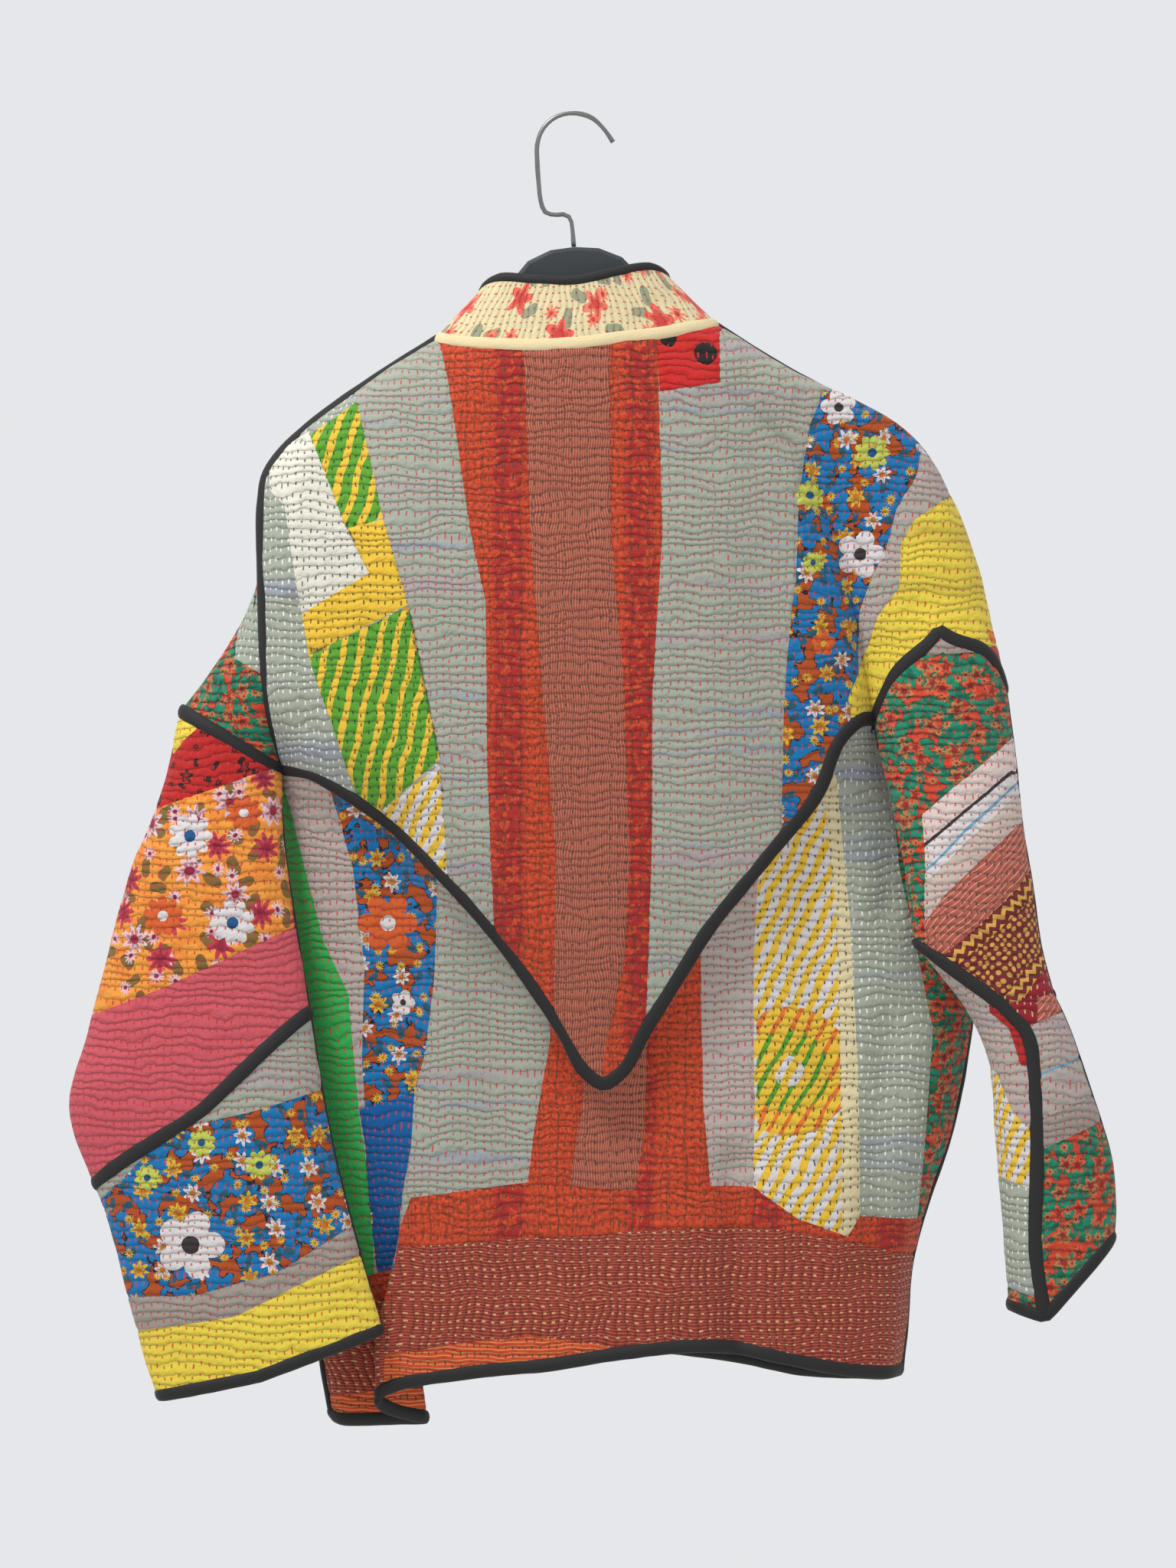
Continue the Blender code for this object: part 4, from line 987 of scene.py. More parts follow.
# %% Lower back
LOWER_BACK_PATCHES = [
    ("pink grey", "right", (
        (355, 990), (379, 1071), (420, 1231), (453, 1300), (467, 1461), (481, 1550), (485, 1621),
        (490, 1800),
    )),
    ("blue floral", "right", (
        (430, 1030), (436, 1052), (459, 1135), (474, 1263), (471, 1380), (485, 1621),
    )),
    *bloom(505, 1207, 40, 6, "petal rust", "petal white"),
    *bloom(525, 1311, 17, 5, "petal white", "dark line"),
    ("deep blue", "area", (
        (467, 1452), (541, 1429), (536, 1500), (520, 1605), (514, 1663), (492, 1666), (486, 1621),
        (476, 1500),
    )),
    ("sage", "right", (
        (571, 1100), (571, 1161), (566, 1286), (555, 1375), (541, 1429), (536, 1500), (520, 1605),
        (514, 1663),
    )),
    ("brocade", "right", ((722, 1300), (719, 1357), (698, 1475), (688, 1560))),
    ("brick", "right", ((763, 1400), (763, 1423), (740, 1573))),
    ("brocade", "right", ((845, 1340), (845, 1359), (842, 1482), (826, 1575))),
    ("pink grey", "right", ((916, 1250), (916, 1300), (919, 1447), (929, 1560))),
    ("milk stripe", "right", ((992, 1100), (985, 1250), (985, 1560))),
    *disc(1031, 1400, 84, "orange ring", 989),
    *disc(1031, 1400, 54, "green ring", 989),
    *disc(1031, 1400, 20, "milk stripe", 989),
    ("cream", "right", ((1080, 1060), (1095, 1200), (1099, 1400), (1100, 1600))),
    ("slate", "right", ((1095, 1020), (1112, 1200), (1122, 1400), (1124, 1590))),
    ("emerald floral", "right", (
        (1164, 1000), (1180, 1143), (1197, 1224), (1221, 1347), (1209, 1510), (1201, 1600),
    )),
    ("brocade", "below", (
        (400, 1690), (490, 1668), (514, 1660), (524, 1600), (536, 1565), (690, 1545), (828, 1556),
        (930, 1549), (985, 1551), (1042, 1592), (1108, 1616), (1124, 1590), (1201, 1596), (1300, 1596),
    )),
    ("hem brick", "below", (
        (400, 1735), (500, 1700), (514, 1660), (520, 1630), (686, 1618), (877, 1605), (1000, 1603),
        (1100, 1622), (1190, 1642), (1300, 1650),
    )),
    ("hem border", "below", (
        (380, 1835), (500, 1822), (503, 1768), (600, 1754), (690, 1742), (770, 1752), (840, 1765),
        (1300, 1800),
    )),
]

# %% Sleeves
LEFT_UPPER_PATCHES = [
    ("lemon", "area", ((215, 930), (262, 945), (240, 965), (222, 985))),
    ("marigold", "below", ((150, 1075), (197, 1059), (239, 1043), (290, 1027), (347, 1005), (380, 990))),
    *bloom(248, 1092, 30, 9, "petal white", "heart blue"),
    *bloom(318, 1062, 24, 9, "petal rust", "petal white"),
    *bloom(214, 1196, 27, 9, "petal rust", "petal white", 0.2),
    *bloom(305, 1205, 30, 9, "petal white", "heart blue", 0.4),
    ("rose", "below", ((90, 1335), (121, 1326), (219, 1288), (334, 1234), (382, 1212), (400, 1205))),
]
LEFT_LOWER_PATCHES = [
    ("blue floral", "below", (
        (100, 1600), (200, 1500), (240, 1469), (330, 1450), (418, 1423), (430, 1420),
    )),
    *bloom(253, 1621, 45, 5, "petal white", "dark line"),
    *bloom(342, 1518, 20, 9, "petal lime", "heart blue"),
    *bloom(267, 1489, 19, 9, "petal lime", "heart blue", 0.3),
    *bloom(196, 1535, 18, 9, "petal lime", "heart blue", 0.6),
    ("taupe", "below", ((174, 1691), (260, 1686), (364, 1657), (460, 1600))),
    ("lemon", "below", ((183, 1734), (310, 1714), (381, 1679), (471, 1636))),
]
RIGHT_UPPER_PATCHES = [
    ("taupe", "area", (
        (1291, 869), (1279, 901), (1236, 948), (1202, 1009), (1204, 1066), (1207, 1123), (1207, 1201),
        (1207, 1240), (1420, 1240), (1420, 869),
    )),
    ("pale pink", "below", (
        (1190, 1078), (1207, 1062), (1243, 1030), (1279, 1001), (1314, 973), (1329, 959),
    )),
    ("dark line", "below", ((1190, 1114), (1218, 1091), (1261, 1055), (1314, 1012), (1330, 1000))),
    ("white", "below", ((1190, 1120), (1218, 1097), (1261, 1061), (1314, 1018), (1330, 1006))),
    ("sky line", "below", ((1190, 1146), (1218, 1126), (1261, 1080), (1314, 1034), (1330, 1020))),
    ("white", "below", ((1190, 1152), (1218, 1131), (1261, 1086), (1314, 1039), (1330, 1025))),
    ("beige", "below", ((1190, 1158), (1218, 1143), (1261, 1099), (1321, 1045), (1334, 1034))),
    ("rose brick", "below", (
        (1190, 1222), (1207, 1205), (1232, 1169), (1279, 1123), (1332, 1076), (1345, 1064),
    )),
    ("zigzag", "below", ((1215, 1262), (1238, 1241), (1279, 1205), (1329, 1159), (1350, 1126))),
    ("honeycomb", "below", ((1235, 1275), (1257, 1251), (1300, 1216), (1346, 1173), (1360, 1160))),
    ("zigzag", "below", ((1300, 1306), (1311, 1298), (1332, 1269), (1350, 1251), (1362, 1240))),
    ("crimson", "below", ((1315, 1322), (1329, 1309), (1350, 1280), (1365, 1262))),
    ("emerald floral", "area", (
        (1140, 860), (1296, 850), (1291, 869), (1279, 901), (1236, 948), (1202, 1009), (1204, 1066),
        (1207, 1123), (1207, 1201), (1207, 1245), (1140, 1240),
    )),
]
RIGHT_LOWER_OUTER_PATCHES = [
    ("crimson", "area", ((1300, 1280), (1351, 1291), (1351, 1358), (1300, 1358))),
    ("pink grey", "below", ((1340, 1338), (1351, 1334), (1381, 1323), (1400, 1316))),
    ("sky line", "below", ((1340, 1404), (1357, 1398), (1400, 1382), (1420, 1375))),
    ("pink grey", "below", ((1340, 1408), (1357, 1402), (1400, 1386), (1420, 1379))),
    ("taupe", "below", ((1340, 1465), (1357, 1458), (1421, 1432), (1440, 1424))),
    ("emerald floral", "below", ((1340, 1506), (1357, 1498), (1433, 1465), (1450, 1457))),
]
RIGHT_LOWER_INNER_PATCHES = [
    ("red", "area", ((1290, 1300), (1330, 1312), (1342, 1389), (1330, 1390), (1314, 1340), (1290, 1320))),
    ("zigzag", "area", (
        (1190, 1225), (1240, 1248), (1300, 1292), (1300, 1304), (1236, 1262), (1190, 1240),
    )),
    ("milk stripe", "below", (
        (1270, 1376), (1280, 1380), (1300, 1400), (1320, 1450), (1347, 1478), (1360, 1484),
    )),
    ("slate", "below", ((1270, 1526), (1290, 1530), (1350, 1552), (1365, 1556))),
    ("emerald floral", "below", ((1270, 1668), (1290, 1672), (1350, 1690), (1365, 1696))),
]

# %% The fronts, which the drawing doesn't show: plain strips of the same quilts
FRONT_YOKE_LEFT_PATCHES = [
    ("cream dotted", "area", ((300, 540), (470, 520), (470, 600), (300, 620))),
    ("brocade", "right", ((460, 440), (470, 700), (480, 1150))),
    ("sage", "right", ((560, 440), (575, 700), (585, 1250))),
    ("blue floral", "right", ((660, 440), (665, 700), (672, 1350))),
    ("emerald floral", "below", ((200, 760), (330, 748), (470, 741))),
]
FRONT_YOKE_RIGHT_PATCHES = [
    ("brick", "right", ((835, 440), (840, 700), (850, 1350))),
    ("slate", "right", ((930, 440), (940, 700), (950, 1350))),
    ("lemon", "right", ((1040, 440), (1050, 700), (1060, 1350))),
    ("brocade", "right", ((1130, 440), (1140, 700), (1150, 1350))),
]
FRONT_HEM = [
    ("brocade", "below", ((330, 1600), (752, 1604), (1200, 1604))),
    ("hem brick", "below", ((330, 1668), (752, 1672), (1200, 1672))),
]
FRONT_LOW_LEFT_PATCHES = [
    ("pink grey", "right", ((430, 900), (440, 1300), (450, 1800))),
    ("brocade", "right", ((540, 900), (545, 1300), (550, 1850))),
    ("green stripe", "right", ((640, 900), (645, 1300), (640, 1850))),
    *FRONT_HEM,
]
FRONT_LOW_RIGHT_PATCHES = [
    ("kelly", "right", ((850, 900), (848, 1300), (846, 1850))),
    ("sage", "right", ((940, 900), (950, 1300), (955, 1850))),
    ("blue floral", "right", ((1060, 900), (1070, 1300), (1080, 1850))),
    *FRONT_HEM,
]
print("patches on the back:", len(BACK_YOKE_PATCHES + LOWER_BACK_PATCHES))

# %% [markdown]
# ## Cutting the panels
# A patch's border has to be a row of edges, or its colour would show a ragged rim. A picture could carry the
# patches instead, but it would blur close up. So each panel is first triangulated flat, with the borders as
# fixed lines, and then bent onto its surface.

# %% From the drawing to a panel's own shares
LATTICE = 161
lattice_u, lattice_v = np.meshgrid(np.linspace(0, 1, LATTICE), np.linspace(0, 1, LATTICE))
BACK, FRONT = -1, 1
SETTLE_TURNS, NUDGE, LONGEST_MOVE, LEAST_AREA = 5, 0.002, 0.06, 2000


def settle(surface, places, facing):
    """Shares u and v of points given by x and z, on the side of a panel that faces back or front."""
    lattice = surface(lattice_u, lattice_v).reshape(-1, 3)
    u, v = np.empty(len(places)), np.empty(len(places))
    for i, place in enumerate(places):
        cost = ((lattice[:, (0, 2)] - place) ** 2).sum(axis=1) - 2 * facing * lattice[:, 1]
        best = int(cost.argmin())
        u[i], v[i] = lattice_u.flat[best], lattice_v.flat[best]
    for turn in range(SETTLE_TURNS):
        left, right = np.clip(u - NUDGE, 0, 1), np.clip(u + NUDGE, 0, 1)
        high, low = np.clip(v - NUDGE, 0, 1), np.clip(v + NUDGE, 0, 1)
        by_u = (surface(right, v) - surface(left, v))[:, (0, 2)] / (right - left)[:, None]
        by_v = (surface(u, low) - surface(u, high))[:, (0, 2)] / (low - high)[:, None]
        miss = places - surface(u, v)[:, (0, 2)]
        area = by_u[:, 0] * by_v[:, 1] - by_u[:, 1] * by_v[:, 0]
        area = np.where(np.abs(area) < LEAST_AREA, np.copysign(LEAST_AREA, area), area)
        move_u = (miss[:, 0] * by_v[:, 1] - miss[:, 1] * by_v[:, 0]) / area
        move_v = (by_u[:, 0] * miss[:, 1] - by_u[:, 1] * miss[:, 0]) / area
        u = u + np.clip(move_u, -LONGEST_MOVE, LONGEST_MOVE)
        v = v + np.clip(move_v, -LONGEST_MOVE, LONGEST_MOVE)
        if turn < SETTLE_TURNS - 1:
            u, v = np.clip(u, 0, 1), np.clip(v, 0, 1)
    return u, v


# %% A patch's border as a line of evenly spaced flat points, and the ring that it closes
BEYOND, FAR = 14.0, 99.0
BORDER_PITCH = 5.0


def finer(points, pitch):
    """The line with points at most a pitch apart, its own corners kept."""
    made = [points[:1]]
    for a, b in zip(points[:-1], points[1:]):
        count = max(1, math.ceil(np.linalg.norm(b - a) / pitch))
        made.append(a + (b - a) * (np.arange(1, count + 1) / count)[:, None])
    return np.vstack(made)


def border(surface, size, kind, places, facing, pitch):
    """The fixed line of a patch on the flat panel, and the ring round all that it takes."""
    wide, tall = size
    line = spot(places)
    if kind == "area":
        line = np.vstack([line, line[:1]])
    u, v = settle(surface, finer(line, BORDER_PITCH), facing)
    flat = np.stack([u * wide, v * tall], axis=1)
    right_rim, foot = wide + BEYOND, tall + BEYOND
    if kind == "area":
        return finer(flat, pitch), flat
    if kind == "right":
        ends = surface(np.array([0.0, 1.0]), np.array([0.5, 0.5]))[:, 0]
        far = wide + FAR if ends[1] > ends[0] else -FAR
        flat = np.vstack([[flat[0, 0], -BEYOND], flat, [flat[-1, 0], foot]])
        return finer(flat, pitch), np.vstack([flat, [far, foot], [far, -BEYOND]])
    if kind == "corner":
        flat = np.vstack([[flat[0, 0], foot], flat, [right_rim, flat[-1, 1]]])
        return finer(flat, pitch), np.vstack([flat, [right_rim, foot]])
    if flat[0, 0] > flat[-1, 0]:
        flat = flat[::-1]
    flat = np.vstack([[-BEYOND, flat[0, 1]], flat, [right_rim, flat[-1, 1]]])
    return finer(flat, pitch), np.vstack([flat, [right_rim, tall + FAR], [-BEYOND, tall + FAR]])


def inside(ring, points):
    """Which points lie in a ring."""
    held = np.zeros(len(points), bool)
    for a, b in zip(ring, np.roll(ring, -1, axis=0)):
        if a[1] == b[1]:
            continue
        spans = (a[1] > points[:, 1]) != (b[1] > points[:, 1])
        held ^= spans & (points[:, 0] < (b[0] - a[0]) * (points[:, 1] - a[1]) / (b[1] - a[1]) + a[0])
    return held


# %% Rows of points between the borders, in shares of the pitch
KEEP_OFF = 0.45
FIRST_ROW, LAST_ROW, ROW_STEP = 0.8, 0.5, 0.87
FIRST_IN_ROW, STAGGER, LAST_IN_ROW = 0.6, 0.5, 0.4


def filling(size, pitch, lines):
    """Staggered rows of points over the flat panel, clear of its fixed lines."""
    wide, tall = size
    cell = pitch * KEEP_OFF
    fixed = np.vstack([finer(line, pitch / 2) for line in lines])
    taken = set(map(tuple, np.floor(fixed / cell).astype(int)))
    made = []
    for r, y in enumerate(np.arange(pitch * FIRST_ROW, tall - pitch * LAST_ROW, pitch * ROW_STEP)):
        x = np.arange(pitch * (FIRST_IN_ROW + STAGGER * (r % 2)), wide - pitch * LAST_IN_ROW, pitch)
        row = np.stack([x, np.full(len(x), y)], axis=1)
        cells = np.floor(row / cell).astype(int)
        made.append(row[[tuple(c) not in taken for c in cells]])
    return made


# %% One panel, triangulated flat
SAME_POINT = 0.01


def cut(surface, size, pitch, patches, facing):
    """Flat points and triangles of a panel, with the row of the patch that each triangle lies in."""
    wide, tall = size
    rim = np.array([(0, 0), (wide, 0), (wide, tall), (0, tall), (0, 0)], float)
    borders = [border(surface, size, kind, places, facing, pitch) for _, kind, places in patches]
    lines = [finer(rim, pitch), *(line for line, _ in borders)]
    edges, base = [], 0
    for line in lines:
        edges += [(base + i, base + i + 1) for i in range(len(line) - 1)]
        base += len(line)
    points = np.vstack([*lines, *filling(size, pitch, lines)])
    made, _, faces, *_ = delaunay_2d_cdt([tuple(p) for p in points], edges, [], 0, SAME_POINT, False)
    made, faces = np.array([tuple(p) for p in made]), np.array(faces)
    middle = made[faces].mean(axis=1)
    on = ((middle > 0) & (middle < size)).all(axis=1)
    faces, middle = faces[on], middle[on]
    owner = np.full(len(faces), -1)
    for k, (_, ring) in enumerate(borders):
        owner[inside(ring, middle)] = k
    used = np.unique(faces)
    renumber = np.zeros(len(made), int)
    renumber[used] = np.arange(len(used))
    return np.clip(made[used], 0, size), renumber[faces], owner


# %% [markdown]
# ## Bending the panels
# The flat panel takes its form from the seams' surface. Where patches meet, the top cloth is turned under and
# stitched, so a shallow groove runs along each border. Slow waves keep the quilt from looking pressed flat.
# A chart tells the prints where each point lies on the cloth. Most panels are unrolled from one upright
# line. A narrow ring, such as the collar, and a front that turns round the side need charts of their own.

# %% A surface's points and normals
SHORT_STEP = 0.004
TINY = 1e-9


def frame_of(surface, u, v):
    """Points of a surface and its unit normals there."""
    across = surface(np.minimum(u + SHORT_STEP, 1), v) - surface(np.maximum(u - SHORT_STEP, 0), v)
    down = surface(u, np.minimum(v + SHORT_STEP, 1)) - surface(u, np.maximum(v - SHORT_STEP, 0))
    normal = np.cross(across, down)
    normal /= np.linalg.norm(normal, axis=-1)[..., None] + TINY
    return surface(u, v), normal


# %% Charts of the flat cloth
def read_off(table, u, v):
    """Values of a lattice table at shares u and v."""
    a, b = np.clip(u, 0, 1) * (LATTICE - 1), np.clip(v, 0, 1) * (LATTICE - 1)
    i, j = np.minimum(a.astype(int), LATTICE - 2), np.minimum(b.astype(int), LATTICE - 2)
    s, t = a - i, b - j
    top = table[j, i] * (1 - s) + table[j, i + 1] * s
    low = table[j + 1, i] * (1 - s) + table[j + 1, i + 1] * s
    return top * (1 - t) + low * t


def unrolled(pivot):
    """A chart of a panel: distance across the cloth, equal to x where u is the pivot."""
    def chart(surface, u, v):
        lattice = surface(lattice_u, lattice_v)
        step = np.linalg.norm(np.diff(lattice[..., :2], axis=1), axis=2)
        run = np.concatenate([np.zeros((LATTICE, 1)), np.cumsum(step, axis=1)], axis=1)
        column = round(pivot * (LATTICE - 1))
        beside = np.clip([column - 6, column + 6], 0, LATTICE - 1)
        heading = np.sign((lattice[:, beside[1], 0] - lattice[:, beside[0], 0]).sum())
        table = heading * (run - run[:, column : column + 1]) + lattice[:, column : column + 1, 0]
        return read_off(table, u, v)
    return chart


def shared(girth):
    """A chart of a narrow ring: shares of its girth, whatever the height."""
    return lambda surface, u, v: (u - 0.5) * girth


def slanted(lean):
    """A chart of a panel that turns round the body's side: x, and y times a lean."""
    return lambda surface, u, v: surface(u, v) @ (1.0, lean, 0.0)


# %% A finished piece that takes the place of a CAD node
def as_piece(kind, node, points, faces, chart, materials, slot, cloth_of_face=0):
    """A smooth mesh with its chart and materials, on the jacket's one body."""
    mesh = bpy.data.meshes.new(node)
    mesh.from_pydata((points * MM).tolist(), [], faces)
    for material in materials:
        mesh.materials.append(material)
    mesh.polygons.foreach_set("material_index", np.zeros(len(faces), int) + cloth_of_face)
    mesh.polygons.foreach_set("use_smooth", np.ones(len(faces), bool))
    mesh.uv_layers.new(name="cloth").data.foreach_set("uv", (chart * MM).ravel())
    made = bpy.data.objects.new(f"{kind}_{node}", mesh)
    bpy.context.scene.collection.objects.link(made)
    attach(made, "root")
    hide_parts(node)
    return made


# %% Sewing one panel
WAVES = ((34.0, 0.9), (13.0, 0.4))
GROOVE = 0.7
SHELL = 2.2


def between_patches(faces, owner):
    """Numbers of the points on the borders between patches."""
    sides = np.sort(np.vstack([faces[:, (0, 1)], faces[:, (1, 2)], faces[:, (2, 0)]]), axis=1)
    owners = np.tile(owner, 3)
    order = np.lexsort((sides[:, 1], sides[:, 0]))
    same = (sides[order[1:]] == sides[order[:-1]]).all(axis=1)
    return np.unique(sides[order[1:]][same & (owners[order[1:]] != owners[order[:-1]])])


def sew(name, surface, size, ground, patches, chart, slot, pitch, facing, tubular):
    """A panel of patched cloth that stands for its CAD node, with its flat size and area in metres."""
    flat, faces, owner = cut(surface, size, pitch, patches, facing)
    u, v = flat[:, 0] / size[0], flat[:, 1] / size[1]
    points, normals = frame_of(surface, u, v)
    outward = (normals * (points - points.mean(axis=0))).sum() if tubular else normals[:, 1].sum() * facing
    if outward < 0:
        normals, faces = -normals, faces[:, ::-1]
    lift = np.zeros(len(points))
    lift[between_patches(faces, owner)] = -GROOVE
    for scale, height in WAVES:
        lift += height * np.array([noise.noise(tuple(p / scale)) for p in points])
    points = points + normals * lift[:, None]
    cloths = [ground, *(row[0] for row in patches)]
    kept = sorted({cloths[k + 1] for k in np.unique(owner)})
    place = np.stack([chart(surface, u, v), -surface(u, v)[:, 2]], axis=1)
    made = as_piece(
        "quilt", name, points, faces.tolist(), place[faces.ravel()], [FABRICS[cloth] for cloth in kept], slot,
        np.array([kept.index(cloths[k + 1]) for k in owner]),
    )
    shell = made.modifiers.new("thickness", "SOLIDIFY")
    shell.thickness, shell.offset = SHELL * MM, 0
    a, b, c = (points[faces[:, k]] for k in range(3))
    area = np.linalg.norm(np.cross(b - a, c - a), axis=1).sum() / 2 * MM * MM
    lattice = surface(lattice_u, lattice_v)
    width = np.linalg.norm(np.diff(lattice, axis=1), axis=2).sum(axis=1).max() * MM
    length = np.linalg.norm(np.diff(lattice, axis=0), axis=2).sum(axis=0).max() * MM
    area = min(area, width * length)
    print(f"{name}: {len(faces)} triangles, {width:.3f} x {length:.3f} m, {area:.4f} m2")
    return made, (width, length), area


# %% [markdown]
# ## Piping and bindings
# A strip folded over a cord stands up along each seam, and a binding wraps each edge. Both are an oval
# section carried along a line of the panel's surface. A curve with a bevel would do the same, but this way
# the section keeps its flat side on the cloth, swells a little here and there as hand-turned strips do, and
# carries a chart for its folds.

# %% One strip
STATION = 4.0
ROUND = 12
UNEVEN, UNEVEN_SCALE = 0.35, 11.0
PIPING, FLAT_PIPING, FINE_PIPING = (4.9, 5.4), (4.9, 3.2), (2.6, 3.2)
BINDING, FLAT_BINDING, CUFF_BINDING, COLLAR_BINDING = (4.6, 5.4), (4.6, 3.2), (4.4, 5.4), (3.4, 5.4)
WIRE = (1.5, 3.0)


def piped(name, points, normals, section=PIPING, material=BLACK_STRIP, slot="black_binding", ring=False):
    """A strip along a line. A section is half the width, and the thickness, in millimetres."""
    half, thick = section
    way = lengths(points)
    count = max(4, round(way[-1] / STATION))
    marks = np.linspace(0, way[-1], count, endpoint=not ring)
    p, n = (
        np.stack([np.interp(marks, way, line[:, k]) for k in range(3)], axis=1) for line in (points, normals)
    )
    ahead = np.roll(p, -1, axis=0) - np.roll(p, 1, axis=0) if ring else np.gradient(p, axis=0)
    ahead /= np.linalg.norm(ahead, axis=1)[:, None] + TINY
    n -= (n * ahead).sum(axis=1)[:, None] * ahead
    n /= np.linalg.norm(n, axis=1)[:, None] + TINY
    side = np.cross(ahead, n)
    wobble = np.array([noise.noise(tuple(q / UNEVEN_SCALE)) for q in p]) * UNEVEN
    around = np.arange(ROUND) / ROUND * 2 * math.pi
    wide, deep = (half + wobble)[:, None, None], (thick / 2 + wobble * 0.5)[:, None, None]
    aside = side[:, None] * np.cos(around)[None, :, None] * wide
    rim = p[:, None] + aside + n[:, None] * np.sin(around)[None, :, None] * deep
    faces, chart = [], []
    girth = 2 * math.pi * (half + thick / 2) / 2
    for i in range(count if ring else count - 1):
        j = (i + 1) % count
        near, far = marks[i], marks[i] + way[-1] / count
        for k in range(ROUND):
            m = (k + 1) % ROUND
            faces.append((i * ROUND + k, j * ROUND + k, j * ROUND + m, i * ROUND + m))
            low, high = k / ROUND * girth, (k + 1) / ROUND * girth
            chart += [(near, low), (far, low), (far, high), (near, high)]
    if not ring:
        for cap in (range(ROUND), range(count * ROUND - 1, (count - 1) * ROUND - 1, -1)):
            faces.append(tuple(cap))
            chart += [(math.cos(a) * half, math.sin(a) * half) for a in around]
    as_piece("strip", name, rim.reshape(-1, 3), faces, np.array(chart), [material], slot)


def seam(name, surface, u, v, section=PIPING, ring=False, material=BLACK_STRIP):
    """A strip along a line of a panel's surface."""
    piped(name, *frame_of(surface, u, v), section, material, ring=ring)


# %% Where the long seams end: the yoke's point and the armholes share one edge of the yokes
t = np.linspace(0, 1, 241)
zero, one = 0 * t, 0 * t + 1
point_share = lengths(yoke_point)[-1] / (lengths(yoke_point)[-1] + lengths(right_cap_back)[-1])
left_share = lengths(cap_left)[-1] / (lengths(cap_left)[-1] + lengths(front_yoke_left)[-1])
right_share = lengths(right_cap_front)[-1] / (lengths(right_cap_front)[-1] + lengths(front_yoke_right)[-1])
left_run, right_run = left_share + t * (1 - left_share), right_share + t * (1 - right_share)

# %% The strips that follow a panel's rim
for row in (
    ("yoke_point_piping", back_yoke, t * point_share, one),
    ("shoulder_piping_left", back_yoke, zero, t),
    ("shoulder_piping_right", front_right_yoke, zero, t),
    ("side_piping_left", plain_back, zero, t, FINE_PIPING),
    ("side_piping_right", plain_back, one, t, FINE_PIPING),
    ("cap_piping_left", left_upper, t, zero, PIPING, True),
    ("cap_piping_right", tube(RIGHT_UPPER), t, zero, PIPING, True),
    ("sleeve_diagonal_piping_left", left_upper, t, one, PIPING, True),
    ("cuff_binding_left", left_lower, t, one, CUFF_BINDING, True),
    ("cuff_binding_right", tube(RIGHT_LOWER), t, one, CUFF_BINDING, True),
    ("sleeve_seam_upper_left", left_upper, zero, t, FINE_PIPING),
    ("sleeve_seam_lower_left", left_lower, zero, t, FINE_PIPING),
    ("sleeve_seam_upper_right", right_upper, zero, t, FINE_PIPING),
    ("sleeve_seam_lower_right", right_back, one, t, FINE_PIPING),
    ("collar_band", collar_wall, t, one, BINDING, False, CREAM_STRIP),
    ("collar_binding", collar_wall, t, zero, COLLAR_BINDING),
    ("front_yoke_piping_left", front_left_yoke, left_run, one, FLAT_PIPING),
    ("front_yoke_piping_right", front_right_yoke, right_run, one, FLAT_PIPING),
):
    seam(*row)

# %% The strip that turns a corner at the top of the right sleeve's ridge, its normals eased round the corner
EASE = 21
top_points, top_normals = frame_of(right_front, t, zero)
ridge_points, ridge_normals = frame_of(right_front, one, t)
corner = np.pad(np.vstack([top_normals, ridge_normals[1:]]), ((EASE // 2, EASE // 2), (0, 0)), mode="edge")
eased = np.stack([np.convolve(corner[:, k], np.ones(EASE) / EASE, mode="valid") for k in range(3)], axis=1)
piped("sleeve_ridge_piping_right", np.vstack([top_points, ridge_points[1:]]), eased)

# %% The hem, in one length round the back, and the two front edges
TO_FRONT = [0.0, 1.0, 0.0]
(left_hem, left_out), (back_hem, back_out), (right_hem, right_out) = (
    frame_of(panel, t, one) for panel in (front_left_low, lower_back, front_right_low)
)
hem_out = np.vstack([-left_out[::-1], back_out[1:], -right_out[1:]])
piped("hem_binding", np.vstack([left_hem[::-1], back_hem[1:], right_hem[1:]]), hem_out, BINDING)
for side, collar_end, low, high in (
    ("left", collar_top[0], front_low_left, front_edge_left),
    ("right", collar_top[-1], front_low_right, front_edge_right),
):
    stand = evenly(np.array([high[0], collar_end]), 40)
    edge = np.vstack([low[::-1], high[::-1][1:], stand[1:]])
    piped(f"front_edge_binding_{side}", edge, np.tile(TO_FRONT, (len(edge), 1)), FLAT_BINDING)

# %% [markdown]
# ## Sewing the jacket together
# Each panel gets its surface, its rough size for the triangles, the quilt that shows where no patch lies, its
# patches, its chart, and the strips that are sewn to it. Its flat size and area are measured, since a maker
# buys cloth by the flat size.

# %% A panel on the hanger
FINE, COARSE = 3.0, 4.5


def hang(
    name, surface, size, ground, patches, chart, slot, beside=(), pitch=FINE, facing=BACK, tubular=False,
):
    """Sews a panel and hangs it on the hanger. The strips beside it are not used."""
    made, flat_size, area = sew(name, surface, size, ground, patches, chart, slot, pitch, facing, tubular)


# %% The back
hang(
    "back_yoke", back_yoke, (470, 400), "slate", BACK_YOKE_PATCHES, unrolled(0.5), "yoke_cloth",
    (
        "yoke_point_piping", "shoulder_piping_left", "shoulder_piping_right", "cap_piping_left",
        "cap_piping_right",
    ),
)
hang(
    "back_lower", lower_back, (400, 300), "kelly", LOWER_BACK_PATCHES, unrolled(0.5), "quilted_cloth",
    ("hem_binding", "side_piping_left", "side_piping_right"),
)

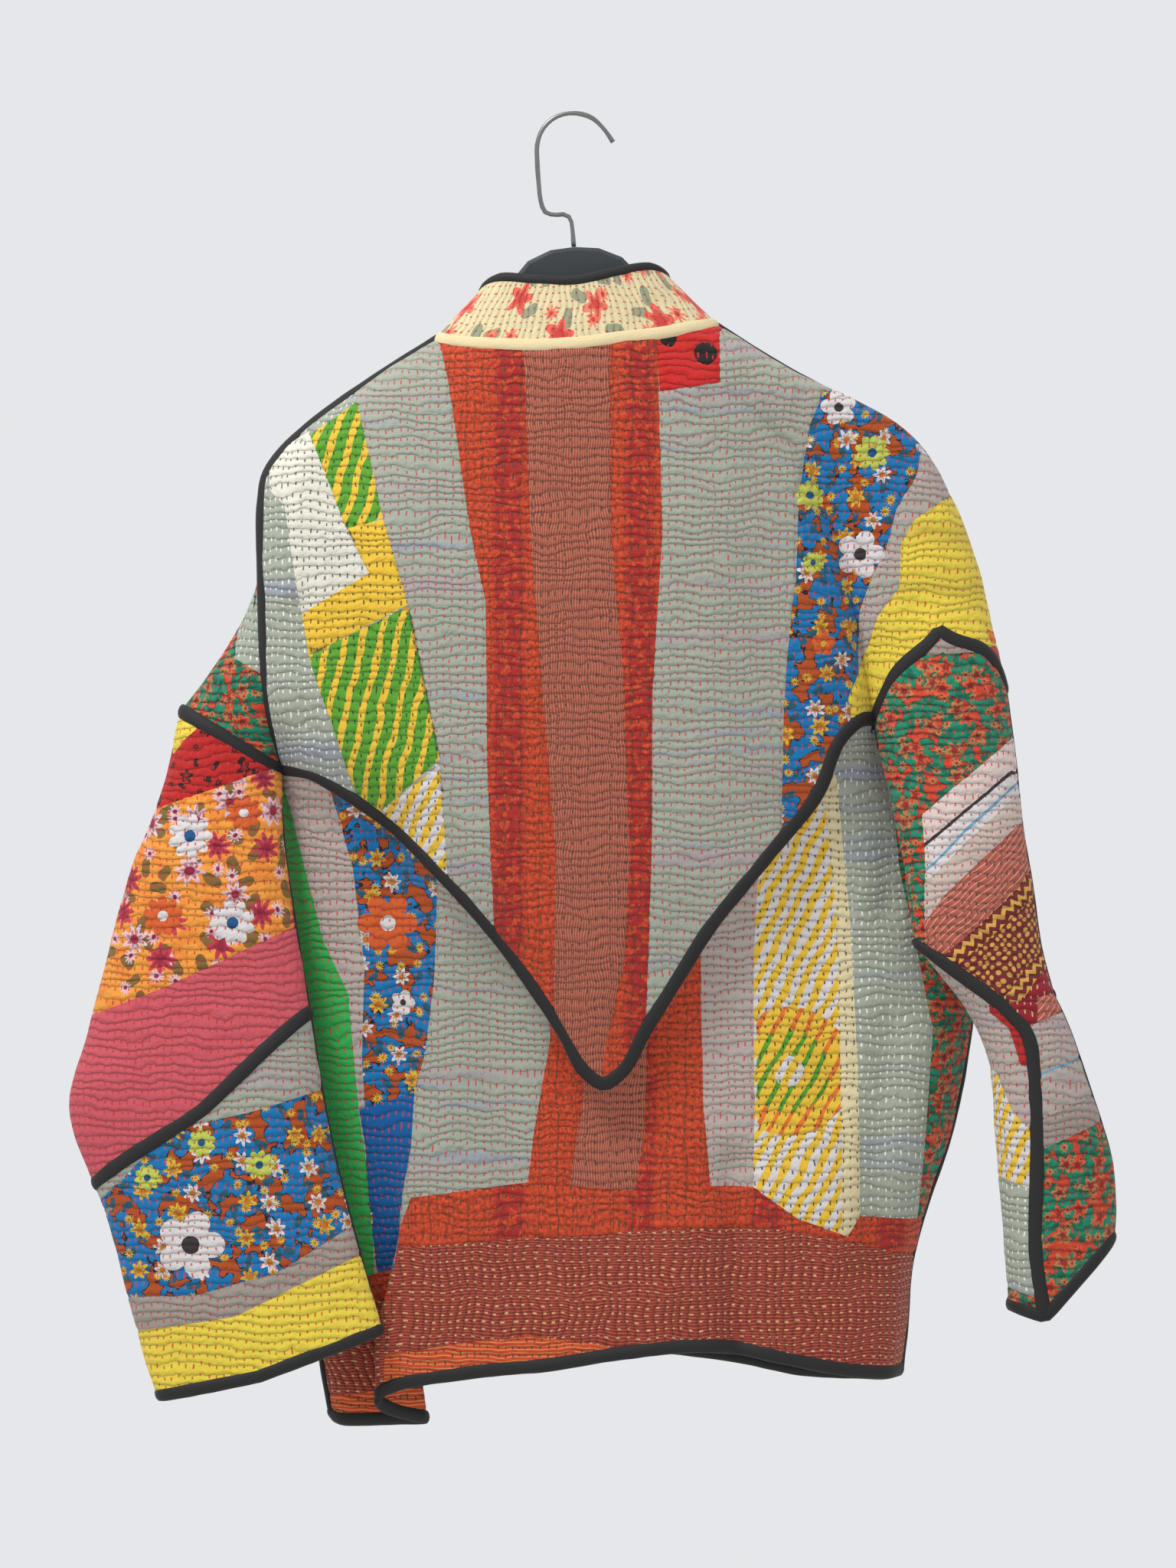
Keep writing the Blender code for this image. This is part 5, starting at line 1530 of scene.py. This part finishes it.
# %% The fronts, in larger triangles
front = {"pitch": COARSE, "facing": FRONT}
hang(
    "front_yoke_left", front_left_yoke, (330, 330), "slate", FRONT_YOKE_LEFT_PATCHES, slanted(-1.0),
    "yoke_cloth", ("front_yoke_piping_left", "front_edge_binding_left"), **front,
)
hang(
    "front_yoke_right", front_right_yoke, (330, 330), "sage", FRONT_YOKE_RIGHT_PATCHES, slanted(1.0),
    "yoke_cloth", ("front_yoke_piping_right", "front_edge_binding_right"), **front,
)
hang(
    "front_lower_left", front_left_low, (200, 330), "brick", FRONT_LOW_LEFT_PATCHES, unrolled(0.5),
    "quilted_cloth", **front,
)
hang(
    "front_lower_right", front_right_low, (220, 330), "brocade", FRONT_LOW_RIGHT_PATCHES, unrolled(0.5),
    "quilted_cloth", **front,
)

# %% The sleeves and the collar
hang(
    "sleeve_upper_left", left_upper, (260, 280), "red floral", LEFT_UPPER_PATCHES, unrolled(0.25),
    "sleeve_cloth", ("sleeve_diagonal_piping_left", "sleeve_seam_upper_left"), tubular=True,
)
hang(
    "sleeve_lower_left", left_lower, (330, 190), "sage", LEFT_LOWER_PATCHES, unrolled(0.25), "sleeve_cloth",
    ("cuff_binding_left", "sleeve_seam_lower_left"), tubular=True,
)
hang(
    "sleeve_upper_right", right_upper, (220, 230), "emerald floral", RIGHT_UPPER_PATCHES, unrolled(0.75),
    "sleeve_cloth", ("sleeve_seam_upper_right",), tubular=True,
)
hang(
    "sleeve_lower_right_back", right_back, (60, 200), "rose brick", RIGHT_LOWER_OUTER_PATCHES, unrolled(0.0),
    "sleeve_cloth", ("sleeve_seam_lower_right",),
)
hang(
    "sleeve_lower_right_front", right_front, (170, 200), "pink grey", RIGHT_LOWER_INNER_PATCHES,
    unrolled(1.0), "sleeve_cloth", ("sleeve_ridge_piping_right", "cuff_binding_right"), tubular=True,
)
hang(
    "collar", collar_wall, (260, 50), "coral sprig", [], shared(-480.0), "collar_cloth",
    ("collar_band", "collar_binding"),
)

# %% [markdown]
# ## The hanger
# Its body stays as the CAD made it, in dark plastic with a soft sheen. The hook is one bend of steel wire,
# so the function that makes the strips makes it too, with a round section.

# %% Hanger
HOOK = (
    (24.5, -17.5), (19, -9.5), (10, -1.2), (0.5, 1.5), (-14.5, -1.6), (-22, -9), (-25.5, -19),
    (-25.5, -30), (-24.5, -45), (-23, -57), (-20.5, -63.5), (-15, -65.5), (-7.5, -65.3), (-3.8, -67.5),
    (-2.6, -73), (-1.4, -86.5),
)
hook_path = dense([(x, 0, z) for x, z in HOOK], 200)
piped("hanger_hook", hook_path, np.tile(TO_FRONT, (len(hook_path), 1)), WIRE, STEEL, "hook_steel")
for held in bpy.data.objects["hanger_body"].material_slots:
    held.material = PLASTIC
print("wire of the hook:", round(lengths(hook_path)[-1]), "mm")
